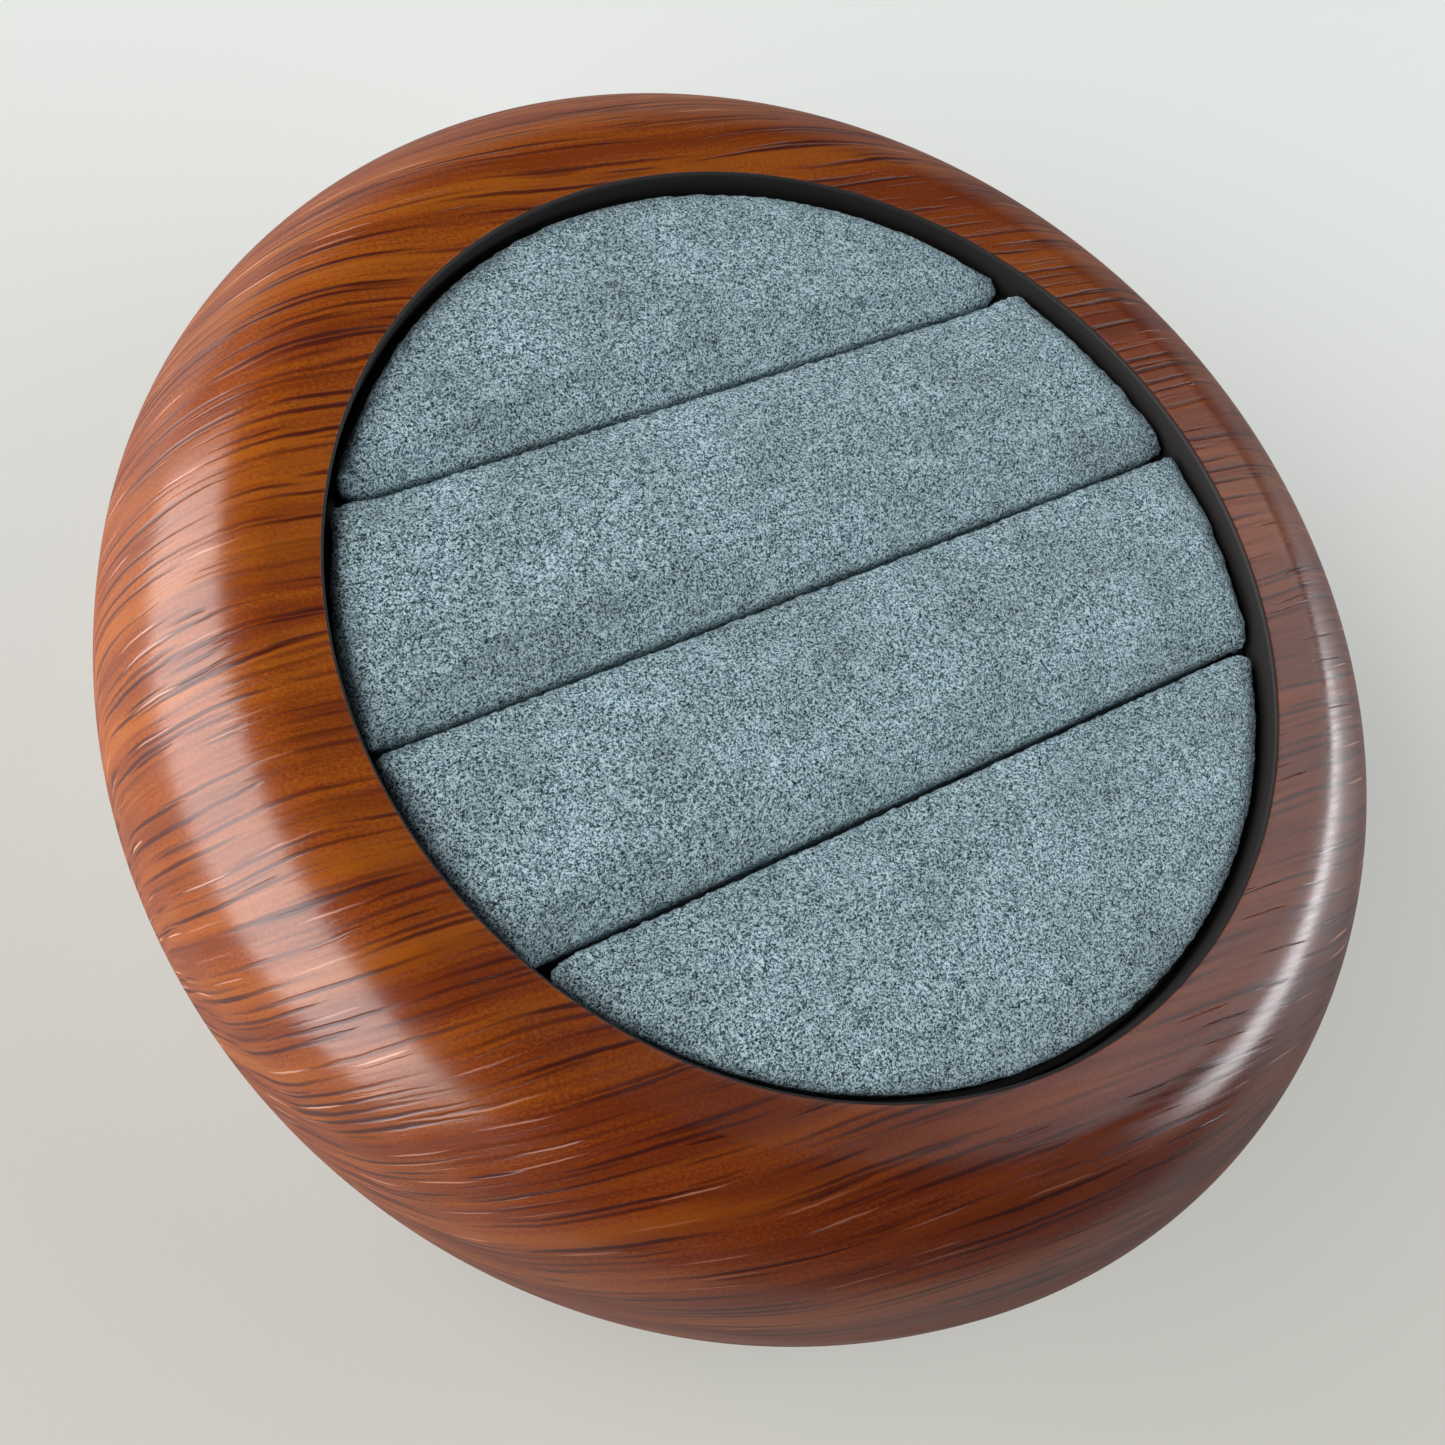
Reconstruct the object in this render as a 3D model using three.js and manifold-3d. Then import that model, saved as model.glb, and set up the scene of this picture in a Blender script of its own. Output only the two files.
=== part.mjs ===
// Bangle box: a round, pebble-shaped box body with a lined recess and a lift-out insert of four
// cushioned suede strips. Millimetres, +Z up, origin on the floor at the middle of the foot pad,
// X along the slits of the insert.

import * as THREE from 'three';
import { mergeVertices } from 'three/addons/utils/BufferGeometryUtils.js';
import Module from 'manifold-3d';

const wasm = await Module();
wasm.setup();

// Body
const bodyHeight = 32.0;          // floor to the flat rim
const recessRadius = 40.0;        // edge of the recess in the wood
const rimFlatWidth = 4.0;         // edge of the recess out to where the shoulder starts
const shoulderReach = 11.1;       // from there out to the widest line
const equatorDrop = 11.6;         // rim down to the widest line
const bellyReach = 17.1;          // widest line in to the flat ring of the foot
const shellWall = 2.4;
const partingDrop = 21.5;         // rim down to the joint between the shells
const shoulderShare = 1.72;       // exponent of the shoulder curve, 2 is an ellipse
const bellyShare = 2.6;           // exponent of the belly curve

// Edge of the recess
const lipEdgeRound = 0.35;
const lipDepth = 6.0;             // rim down to the lower edge of the lip

// Stepped joint between the shells
const tongueHeight = 2.0;
const tongueThickness = 1.0;
const tongueClearance = 0.15;

// Cup
const cupWall = 0.7;
const cupFloor = 1.4;
const cupEdgeDrop = 3.3;          // rim down to the edge of the cup's wall
const flangeThickness = 1.2;
const flangeWidth = 3.0;          // flange bonded under the lip
const cupClearance = 0.2;
const cupFootRound = 1.5;

// Insert
const insertClearance = 0.25;
const insertDrop = 0.8;           // rim down to the top of the crown
const boardThickness = 1.6;
const boardInset = 0.3;           // board edge inside the reach of the strips
const padHeight = 14.0;
const coverThickness = 0.8;
const coreClearance = 0.12;       // between a cover and its core
const slitPitch = 18.7;
const slitWidth = 0.4;
const slitOffset = 1.9;           // middle slit beside the centre line
const edgeRoll = 1.3;             // how far the top edge rolls in
const edgeRollDrop = 1.7;         // and down
const cornerRound = 1.1;          // corners of a strip in plan
const leastRound = 0.2;           // corner that is left where the outline is set in past that
const crownHeight = 0.5;
const drawIn = 0.35;              // how far the sides pull in at half height
const hemRound = 0.5;             // turned edge under a cover
const hemTurn = 4.0;              // width of cloth turned under the foam

// Foot pad and screws
const padRecessDepth = 1.1;
const padThickness = 1.5;
const footRingWidth = 4.6;        // flat ring left round the recess for the pad
const footPadClearance = 0.4;
const footEdgeRound = 0.6;
const screwInset = 7.0;           // edge of the pad in to the middle of a screw
const screwCount = 4;
const screwHeadRadius = 2.5;
const screwHeadHeight = 1.5;
const screwShankRadius = 1.2;
const screwTipGap = 1.2;          // point of a screw to the underside of the cup
const driveWidth = 1.7;           // across the flats of the socket in the head
const driveDepth = 0.9;
const screwClearance = 0.2;
const towerWall = 1.5;
const towerHeight = 3.8;          // top of a screw tower above the recess for the pad
const towerFloor = 1.3;           // material under a screw head
const bossWall = 1.6;
const boreGrip = 0.1;             // bore radius over the shank's

// Faceting
const turns = 64;
const screwSides = 16;
const socketSides = 6;            // drive socket in a screw head
const outsideSteps = 11;          // along the shoulder, and along the belly
const insideSteps = 7;
const roundSteps = 2;             // along a small rounded edge
const rollSteps = 3;              // over the rolled edge of a strip
const lineSteps = 6;              // along a strip's straight sides
const rimSteps = 13;              // along the arc of an outer strip
const endSteps = 4;               // along the arc at each end of a middle strip
const cornerSteps = 2;
const capShares = [0.72, 0.4];    // loops between a strip's edge and its peak
const circleShare = 2;            // exponent of a circle among superellipses
const overrun = 1.0;              // how far a cutting body runs past a face

// Heights worked out from the above
const equatorZ = bodyHeight - equatorDrop;
const partingZ = bodyHeight - partingDrop;
const lipBottomZ = bodyHeight - lipDepth;
const cupTopZ = bodyHeight - cupEdgeDrop;
const footZ = padThickness - padRecessDepth;
const padRecessZ = footZ + padRecessDepth;
const lowerFloorZ = padRecessZ + shellWall;
const insertTopZ = bodyHeight - insertDrop;
const boardTopZ = insertTopZ - padHeight;
const boardBottomZ = boardTopZ - boardThickness;
const cupBottomZ = boardBottomZ - cupFloor;
const towerTopZ = padRecessZ + towerHeight;
const screwHeadZ = towerTopZ - towerFloor;   // underside of a screw head
const screwTipZ = cupBottomZ - screwTipGap;

// Radii worked out from the above
const rimFlatRadius = recessRadius + rimFlatWidth;
const equatorRadius = rimFlatRadius + shoulderReach;
const footRadius = equatorRadius - bellyReach;
const footPadRadius = footRadius - footRingWidth - footPadClearance;
const screwCircle = footPadRadius - screwInset;
const cupOuterRadius = recessRadius - cupClearance;
const cupInnerRadius = cupOuterRadius - cupWall;
const insertRadius = cupInnerRadius - insertClearance;
const lipOuterRadius = recessRadius + shellWall;

// Materials, with the colours seen in the photograph
function finish(color, roughness, metalness) {
  return new THREE.MeshStandardMaterial({ color, roughness, metalness });
}
const woodFilm = finish(0xa8572c, 0.28, 0.0);
const blackPlastic = finish(0x14110f, 0.55, 0.0);
const suede = finish(0x7e878d, 0.95, 0.0);
const foam = finish(0xd8d4c8, 0.9, 0.0);
const greyBoard = finish(0x8d8a83, 0.9, 0.0);
const darkFelt = finish(0x26211e, 0.98, 0.0);
const zincSteel = finish(0xa9adb1, 0.35, 0.9);

// A closed profile in (radius, height) turned round the axis. Its points run so that the
// material lies to their left.
function turned(points, sides = turns) {
  const ring = points.map(([radius, height]) => new THREE.Vector2(radius, height));
  const geometry = new THREE.LatheGeometry(ring.concat([ring[0].clone()]), sides);
  geometry.rotateX(Math.PI / 2);
  return welded(geometry);
}

function welded(geometry) {
  geometry.deleteAttribute('normal');
  geometry.deleteAttribute('uv');
  return mergeVertices(geometry);
}

function toSolid(geometry) {
  const plain = welded(geometry.clone());
  return new wasm.Manifold(new wasm.Mesh({
    numProp: 3,
    vertProperties: new Float32Array(plain.attributes.position.array),
    triVerts: new Uint32Array(plain.index.array),
  }));
}

function toGeometry(solid) {
  const mesh = solid.getMesh();
  const geometry = new THREE.BufferGeometry();
  geometry.setAttribute('position', new THREE.BufferAttribute(mesh.vertProperties, 3));
  geometry.setIndex(new THREE.BufferAttribute(mesh.triVerts, 1));
  geometry.computeVertexNormals();
  return geometry;
}

function uprightCylinder(radius, bottomZ, topZ, x, y, sides = screwSides) {
  const geometry = new THREE.CylinderGeometry(radius, radius, topZ - bottomZ, sides);
  geometry.rotateX(Math.PI / 2);
  geometry.translate(x, y, (bottomZ + topZ) / 2);
  return geometry;
}

// Quarter of a superellipse between two half axes, as shares of them
function quarterShares(exponent, steps) {
  const shares = [];
  for (let i = 0; i <= steps; i++) {
    const angle = (i / steps) * Math.PI / 2;
    shares.push([Math.cos(angle) ** (2 / exponent), Math.sin(angle) ** (2 / exponent)]);
  }
  return shares;
}

// Outline of the shoulder from the widest line up to the flat rim, set in by a wall
function shoulder(inset, steps) {
  const startRadius = rimFlatRadius - inset / 2;
  return quarterShares(shoulderShare, steps).map(([along, up]) => [
    startRadius + (equatorRadius - inset - startRadius) * along,
    equatorZ + (equatorDrop - inset) * up,
  ]);
}

// Outline of the belly from the widest line down to the foot, set in by a wall
function belly(inset, steps) {
  const endRadius = footRadius - inset / 2;
  return quarterShares(bellyShare, steps).map(([along, down]) => [
    endRadius + (equatorRadius - inset - endRadius) * along,
    equatorZ - (equatorZ - footZ - inset) * down,
  ]);
}

// Radius of a belly outline at a height
function radiusAt(outline, height) {
  for (let i = 1; i < outline.length; i++) {
    const [r0, z0] = outline[i - 1];
    const [r1, z1] = outline[i];
    if (z1 <= height) return r0 + (r1 - r0) * (z0 - height) / (z0 - z1);
  }
  return outline[outline.length - 1][0];
}

const bellyOuter = belly(0, outsideSteps);
const bellyInner = belly(shellWall, insideSteps);
const partingOuter = radiusAt(bellyOuter, partingZ);
const partingInner = radiusAt(bellyInner, partingZ);
const tongueOuter = partingInner + tongueThickness;
const socketRadius = tongueOuter + tongueClearance;

function upperShellGeometry() {
  const outside = shoulder(0, outsideSteps);
  const inside = shoulder(shellWall, insideSteps).reverse();
  const aboveParting = bellyOuter.filter(([, height]) => height > partingZ && height < equatorZ);
  const socketTopZ = partingZ + tongueHeight + tongueClearance;
  const edge = quarterShares(circleShare, roundSteps).map(([along, up]) => [
    recessRadius + lipEdgeRound * (1 - along),
    bodyHeight - lipEdgeRound * (1 - up),
  ]);
  return turned([
    [partingOuter, partingZ],
    ...aboveParting.reverse(),
    ...outside,
    ...edge.reverse(),
    [recessRadius, lipBottomZ],
    [lipOuterRadius, lipBottomZ],
    [lipOuterRadius, bodyHeight - shellWall],
    ...inside,
    [radiusAt(bellyInner, socketTopZ), socketTopZ],
    [socketRadius, socketTopZ],
    [socketRadius, partingZ],
  ]);
}

function screwPlaces() {
  const places = [];
  for (let i = 0; i < screwCount; i++) {
    const angle = ((i + 1 / 2) / screwCount) * 2 * Math.PI;
    places.push([screwCircle * Math.cos(angle), screwCircle * Math.sin(angle)]);
  }
  return places;
}

const headWellRadius = screwHeadRadius + screwClearance;
const towerRadius = headWellRadius + towerWall;
const shankHoleRadius = screwShankRadius + screwClearance;
const boreRadius = screwShankRadius + boreGrip;
const bossRadius = boreRadius + bossWall;

function lowerShellGeometry() {
  const below = bellyOuter.filter(([, height]) => height < partingZ);
  const within = bellyInner.filter(([, height]) => height < partingZ && height > lowerFloorZ);
  const padWellRadius = footPadRadius + footPadClearance;
  let shell = toSolid(turned([
    [partingInner, partingZ + tongueHeight],
    ...within,
    [radiusAt(bellyInner, lowerFloorZ), lowerFloorZ],
    [0, lowerFloorZ],
    [0, padRecessZ],
    [padWellRadius, padRecessZ],
    [padWellRadius, footZ + footEdgeRound],
    [padWellRadius + footEdgeRound, footZ],
    ...below.reverse(),
    [partingOuter, partingZ],
    [tongueOuter, partingZ],
    [tongueOuter, partingZ + tongueHeight],
  ]));
  for (const [x, y] of screwPlaces()) {
    const tower = uprightCylinder(towerRadius, padRecessZ + shellWall / 2, towerTopZ, x, y);
    const well = uprightCylinder(headWellRadius, padRecessZ - overrun, screwHeadZ, x, y);
    const hole = uprightCylinder(shankHoleRadius, padRecessZ - overrun, towerTopZ + overrun, x, y);
    shell = shell.add(toSolid(tower)).subtract(toSolid(well)).subtract(toSolid(hole));
  }
  return toGeometry(shell);
}

function recessCupGeometry() {
  const foot = quarterShares(circleShare, roundSteps).map(([along, down]) => [
    cupOuterRadius - cupFootRound * (1 - along),
    cupBottomZ + cupFootRound * (1 - down),
  ]).reverse();
  const flangeRadius = cupOuterRadius + flangeWidth;
  let cup = toSolid(turned([
    [0, cupBottomZ],
    ...foot,
    [cupOuterRadius, lipBottomZ - flangeThickness],
    [flangeRadius, lipBottomZ - flangeThickness],
    [flangeRadius, lipBottomZ],
    [cupOuterRadius, lipBottomZ],
    [cupOuterRadius, cupTopZ],
    [cupInnerRadius, cupTopZ],
    [cupInnerRadius, boardBottomZ],
    [0, boardBottomZ],
  ]));
  const boreTopZ = screwTipZ + screwClearance;
  for (const [x, y] of screwPlaces()) {
    const boss = uprightCylinder(bossRadius, towerTopZ, cupBottomZ + cupFloor / 2, x, y);
    const bore = uprightCylinder(boreRadius, towerTopZ - overrun, boreTopZ, x, y);
    cup = cup.add(toSolid(boss)).subtract(toSolid(bore));
  }
  return toGeometry(cup);
}

function screwGeometry(x, y) {
  const headBottom = screwHeadZ - screwHeadHeight;
  const chamfer = screwShankRadius / 2;
  const profile = turned([
    [0, headBottom],
    [screwHeadRadius - chamfer, headBottom],
    [screwHeadRadius, headBottom + chamfer],
    [screwHeadRadius, screwHeadZ],
    [screwShankRadius, screwHeadZ],
    [screwShankRadius, screwTipZ - screwShankRadius],
    [0, screwTipZ],
  ], screwSides);
  const socketTopZ = headBottom + driveDepth;
  const socket = uprightCylinder(driveWidth / 2, headBottom - overrun, socketTopZ, 0, 0, socketSides);
  const screw = toGeometry(toSolid(profile).subtract(toSolid(socket)));
  screw.translate(x, y, 0);
  return screw;
}

// The insert's strips lie between lines across the disc. A strip's plan is the disc cut by its
// two lines, with rounded corners, and set in by a distance all round.
function arc(centreX, centreY, radius, from, to, steps) {
  const points = [];
  for (let i = 0; i < steps; i++) {
    const angle = from + (to - from) * i / steps;
    points.push([centreX + radius * Math.cos(angle), centreY + radius * Math.sin(angle)]);
  }
  return points;
}

function straight(from, to, steps) {
  const points = [];
  for (let i = 0; i < steps; i++) {
    points.push([from[0] + (to[0] - from[0]) * i / steps, from[1] + (to[1] - from[1]) * i / steps]);
  }
  return points;
}

// The rounded corner on the right-hand end of a line at height y, where the outline is set in:
// side is +1 where the strip lies above the line and -1 where it lies below
function corner(y, side, inset) {
  const radius = Math.max(cornerRound - inset, leastRound);
  const centreY = y + side * (inset + radius);
  const reach = insertRadius - inset - radius;
  const centreX = Math.sqrt(reach ** 2 - centreY ** 2);
  return { radius, centreX, centreY, rimAngle: Math.atan2(centreY, centreX) };
}

// An outer strip: one line and the arc beyond it, worked out above the line and turned for below
function segmentPlan(y, side, inset) {
  const { radius, centreX, centreY, rimAngle } = corner(side * y, 1, inset);
  const points = [
    ...arc(centreX, centreY, radius, -Math.PI / 2, rimAngle, cornerSteps),
    ...arc(0, 0, insertRadius - inset, rimAngle, Math.PI - rimAngle, rimSteps),
    ...arc(-centreX, centreY, radius, Math.PI - rimAngle, 3 * Math.PI / 2, cornerSteps),
    ...straight([-centreX, side * y + inset], [centreX, side * y + inset], lineSteps),
  ];
  return points.map(([px, py]) => [side * px, side * py]);
}

// A middle strip: two lines, and a short arc at each end
function bandPlan(lowY, highY, inset) {
  const low = corner(lowY, 1, inset);
  const high = corner(highY, -1, inset);
  const radius = low.radius;
  const rim = insertRadius - inset;
  return [
    ...arc(low.centreX, low.centreY, radius, -Math.PI / 2, low.rimAngle, cornerSteps),
    ...arc(0, 0, rim, low.rimAngle, high.rimAngle, endSteps),
    ...arc(high.centreX, high.centreY, radius, high.rimAngle, Math.PI / 2, cornerSteps),
    ...straight([high.centreX, highY - inset], [-high.centreX, highY - inset], lineSteps),
    ...arc(-high.centreX, high.centreY, radius, Math.PI / 2, Math.PI - high.rimAngle, cornerSteps),
    ...arc(0, 0, rim, Math.PI - high.rimAngle, Math.PI - low.rimAngle, endSteps),
    ...arc(-low.centreX, low.centreY, radius, Math.PI - low.rimAngle, 3 * Math.PI / 2, cornerSteps),
    ...straight([-low.centreX, lowY + inset], [low.centreX, lowY + inset], lineSteps),
  ];
}

// Each strip's plan as a function of its inset, with the middle line that its crown follows
function stripPlans() {
  const slits = [-1, 0, 1].map((step) => slitOffset + step * slitPitch);
  const half = slitWidth / 2;
  const lowLine = slits[0] - half;
  const highLine = slits[2] + half;
  const plans = [];
  plans.push({ plan: (inset) => segmentPlan(lowLine, -1, inset), low: -insertRadius, high: lowLine });
  for (let i = 0; i < 2; i++) {
    const low = slits[i] + half;
    const high = slits[i + 1] - half;
    plans.push({ plan: (inset) => bandPlan(low, high, inset), low, high });
  }
  plans.push({ plan: (inset) => segmentPlan(highLine, 1, inset), low: highLine, high: insertRadius });
  return plans;
}

// Loops of equal point counts, closed by a point at each end, as one closed surface
function lofted(firstPoint, loops, lastPoint) {
  const count = loops[0].length;
  const positions = [...firstPoint, ...loops.flat(2), ...lastPoint];
  const lastIndex = 1 + loops.length * count;
  const index = [];
  const at = (loop, i) => 1 + loop * count + (i % count);
  for (let i = 0; i < count; i++) {
    index.push(0, at(0, i + 1), at(0, i));
    for (let k = 0; k + 1 < loops.length; k++) {
      index.push(at(k, i), at(k, i + 1), at(k + 1, i + 1));
      index.push(at(k, i), at(k + 1, i + 1), at(k + 1, i));
    }
    index.push(at(loops.length - 1, i), at(loops.length - 1, i + 1), lastIndex);
  }
  const geometry = new THREE.BufferGeometry();
  geometry.setAttribute('position', new THREE.Float32BufferAttribute(positions, 3));
  geometry.setIndex(index);
  geometry.computeVertexNormals();
  return geometry;
}

// Rise of the crown over a strip at a point, as a share of crownHeight
function crownShare(strip, x, y) {
  const across = (2 * y - strip.low - strip.high) / (strip.high - strip.low);
  const along = x / insertRadius;
  return (1 - across ** 2) * (1 - along ** 2);
}

// Side, rolled edge and crowned top of a strip's outside, or of its core when set in by skin
function stripSurface(strip, skin, bottomZ) {
  const topZ = insertTopZ - skin;
  const rollX = edgeRoll - skin / 2;
  const rollZ = edgeRollDrop - skin / 2;
  const loops = [];
  const addLoop = (inset, z) => loops.push(strip.plan(inset).map(([x, y]) => [x, y, z]));
  const sideTop = topZ - crownHeight - rollZ;
  addLoop(skin + hemRound, bottomZ);
  addLoop(skin, bottomZ + hemRound);
  addLoop(skin + drawIn, (bottomZ + sideTop) / 2);
  addLoop(skin, sideTop);
  for (const [across, up] of quarterShares(circleShare, rollSteps).slice(1)) {
    addLoop(skin + rollX * (1 - across), sideTop + rollZ * up);
  }
  const last = loops[loops.length - 1];
  const middleX = last.reduce((sum, point) => sum + point[0], 0) / last.length;
  const middleY = last.reduce((sum, point) => sum + point[1], 0) / last.length;
  const crownZ = (x, y) => topZ - crownHeight * (1 - crownShare(strip, x, y));
  for (const share of capShares) {
    loops.push(last.map(([px, py]) => {
      const x = middleX + (px - middleX) * share;
      const y = middleY + (py - middleY) * share;
      return [x, y, crownZ(x, y)];
    }));
  }
  return { loops, middle: [middleX, middleY], peak: [middleX, middleY, crownZ(middleX, middleY)] };
}

const coreBottomZ = boardTopZ + coverThickness;

// A cover is cloth over the top and sides of its foam, turned under it and glued to the board
function coverGeometry(strip) {
  const outside = stripSurface(strip, 0, boardTopZ);
  const inside = stripSurface(strip, coverThickness, coreBottomZ);
  const window = (z) => windowLoop(strip, z);
  return lofted(
    inside.peak,
    [...inside.loops.slice().reverse(), window(coreBottomZ), window(boardTopZ), ...outside.loops],
    outside.peak,
  );
}

function windowLoop(strip, z) {
  const outer = strip.plan(hemRound);
  const middleY = outer.reduce((sum, point) => sum + point[1], 0) / outer.length;
  const lowest = Math.min(...outer.map((point) => point[1]));
  const highest = Math.max(...outer.map((point) => point[1]));
  const widest = Math.max(...outer.map((point) => point[0]));
  const shareX = 1 - hemTurn / widest;
  const shareY = 1 - hemTurn / Math.min(highest - middleY, middleY - lowest);
  return outer.map(([x, y]) => [x * shareX, middleY + (y - middleY) * shareY, z]);
}

function coreGeometry(strip) {
  const skin = coverThickness + coreClearance;
  const core = stripSurface(strip, skin, coreBottomZ);
  const [x, y] = core.middle;
  return lofted([x, y, coreBottomZ], core.loops, core.peak);
}

function boardGeometry() {
  const radius = insertRadius - boardInset;
  return turned([[0, boardBottomZ], [radius, boardBottomZ], [radius, boardTopZ], [0, boardTopZ]]);
}

function footPadGeometry() {
  return turned([[0, 0], [footPadRadius, 0], [footPadRadius, padRecessZ], [0, padRecessZ]]);
}

// Assembly
const box = new THREE.Group();
const body = new THREE.Group();
const insert = new THREE.Group();
box.add(body, insert);

function addPiece(group, name, geometry, material) {
  const piece = new THREE.Mesh(geometry, material);
  piece.name = name;
  group.add(piece);
}

addPiece(body, 'upper_shell', upperShellGeometry(), woodFilm);
addPiece(body, 'lower_shell', lowerShellGeometry(), woodFilm);
addPiece(body, 'recess_cup', recessCupGeometry(), blackPlastic);
addPiece(body, 'foot_pad', footPadGeometry(), darkFelt);
screwPlaces().forEach(([x, y], i) => {
  addPiece(body, `shell_screw_${i + 1}`, screwGeometry(x, y), zincSteel);
});
addPiece(insert, 'insert_board', boardGeometry(), greyBoard);
stripPlans().forEach((strip, i) => {
  addPiece(insert, `foam_strip_${i + 1}`, coreGeometry(strip), foam);
  addPiece(insert, `suede_cover_${i + 1}`, coverGeometry(strip), suede);
});

export default box;
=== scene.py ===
import math

import bpy
from mathutils import Matrix, Vector, noise


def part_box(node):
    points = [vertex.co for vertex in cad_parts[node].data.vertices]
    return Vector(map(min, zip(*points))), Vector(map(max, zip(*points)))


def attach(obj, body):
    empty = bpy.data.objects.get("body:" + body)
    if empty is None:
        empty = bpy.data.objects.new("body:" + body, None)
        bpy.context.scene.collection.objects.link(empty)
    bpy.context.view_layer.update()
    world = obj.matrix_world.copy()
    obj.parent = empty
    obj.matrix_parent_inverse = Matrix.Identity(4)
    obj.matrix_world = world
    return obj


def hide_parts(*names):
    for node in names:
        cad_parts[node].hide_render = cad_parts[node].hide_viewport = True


# Looks for a round bangle box body: two moulded shells in wood-grain film, a black cup in the
# recess, and a lift-out insert of four cushioned microsuede strips. Metres, as the frame.

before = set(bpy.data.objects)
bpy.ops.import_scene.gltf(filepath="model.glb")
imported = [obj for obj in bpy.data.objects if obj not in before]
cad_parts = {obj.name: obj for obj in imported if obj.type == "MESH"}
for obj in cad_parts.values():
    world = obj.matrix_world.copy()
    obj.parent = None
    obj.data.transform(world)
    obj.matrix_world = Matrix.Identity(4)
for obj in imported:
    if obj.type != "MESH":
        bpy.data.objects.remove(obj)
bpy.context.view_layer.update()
scene = bpy.context.scene
scene.view_settings.view_transform = "Standard"
mm = 0.001


def linear(hexColour):
    parts = [int(hexColour[i:i + 2], 16) / 255 for i in (1, 3, 5)]
    return [c / 12.92 if c <= 0.04045 else ((c + 0.055) / 1.055) ** 2.4 for c in parts] + [1.0]


def setInputs(tree, node, inputs):
    # a node given as an input stands for its first output
    for name, value in inputs.items():
        if isinstance(value, bpy.types.Node):
            value = value.outputs[0]
        if isinstance(value, bpy.types.NodeSocket):
            tree.links.new(value, node.inputs[name])
        else:
            node.inputs[name].default_value = value


def addNode(tree, kind, settings={}, inputs={}, stops=()):
    node = tree.nodes.new(kind)
    for name, value in settings.items():
        setattr(node, name, value)
    setInputs(tree, node, inputs)
    for i, (place, hexColour) in enumerate(stops):
        elements = node.color_ramp.elements
        stop = elements[i] if i < 2 else elements.new(place)
        stop.position = place
        stop.color = linear(hexColour)
    return node


def newMaterial(name):
    # also gives the Object coordinates, which nearly every pattern reads
    material = bpy.data.materials.new(name)
    material.use_nodes = True
    tree = material.node_tree
    tree.nodes.clear()
    shader = addNode(tree, "ShaderNodeBsdfPrincipled")
    addNode(tree, "ShaderNodeOutputMaterial", inputs={"Surface": shader})
    return material, tree, shader, addNode(tree, "ShaderNodeTexCoord").outputs["Object"]


def newObject(name, vertices, faces):
    mesh = bpy.data.meshes.new(name)
    mesh.from_pydata([tuple(v) for v in vertices], [], faces)
    mesh.validate()
    piece = bpy.data.objects.new(name, mesh)
    scene.collection.objects.link(piece)
    return piece


def applied(piece):
    # the piece with its modifiers made real, as a plain mesh
    graph = bpy.context.evaluated_depsgraph_get()
    mesh = bpy.data.meshes.new_from_object(piece.evaluated_get(graph), depsgraph=graph)
    mesh.name = piece.name
    piece.modifiers.clear()
    piece.data = mesh
    return piece


def superellipse(exponent, steps):
    shares = []
    for i in range(steps + 1):
        angle = i / steps * math.pi / 2
        shares.append((math.cos(angle) ** (2 / exponent), math.sin(angle) ** (2 / exponent)))
    return shares


def rounding(r, z, out, rise, steps):
    # rounds off the corner of a section at (r, z), from beside it to above or below it
    return [(r + out * (1 - along), z + rise * (1 - up)) for along, up in superellipse(2, steps)]


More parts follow.
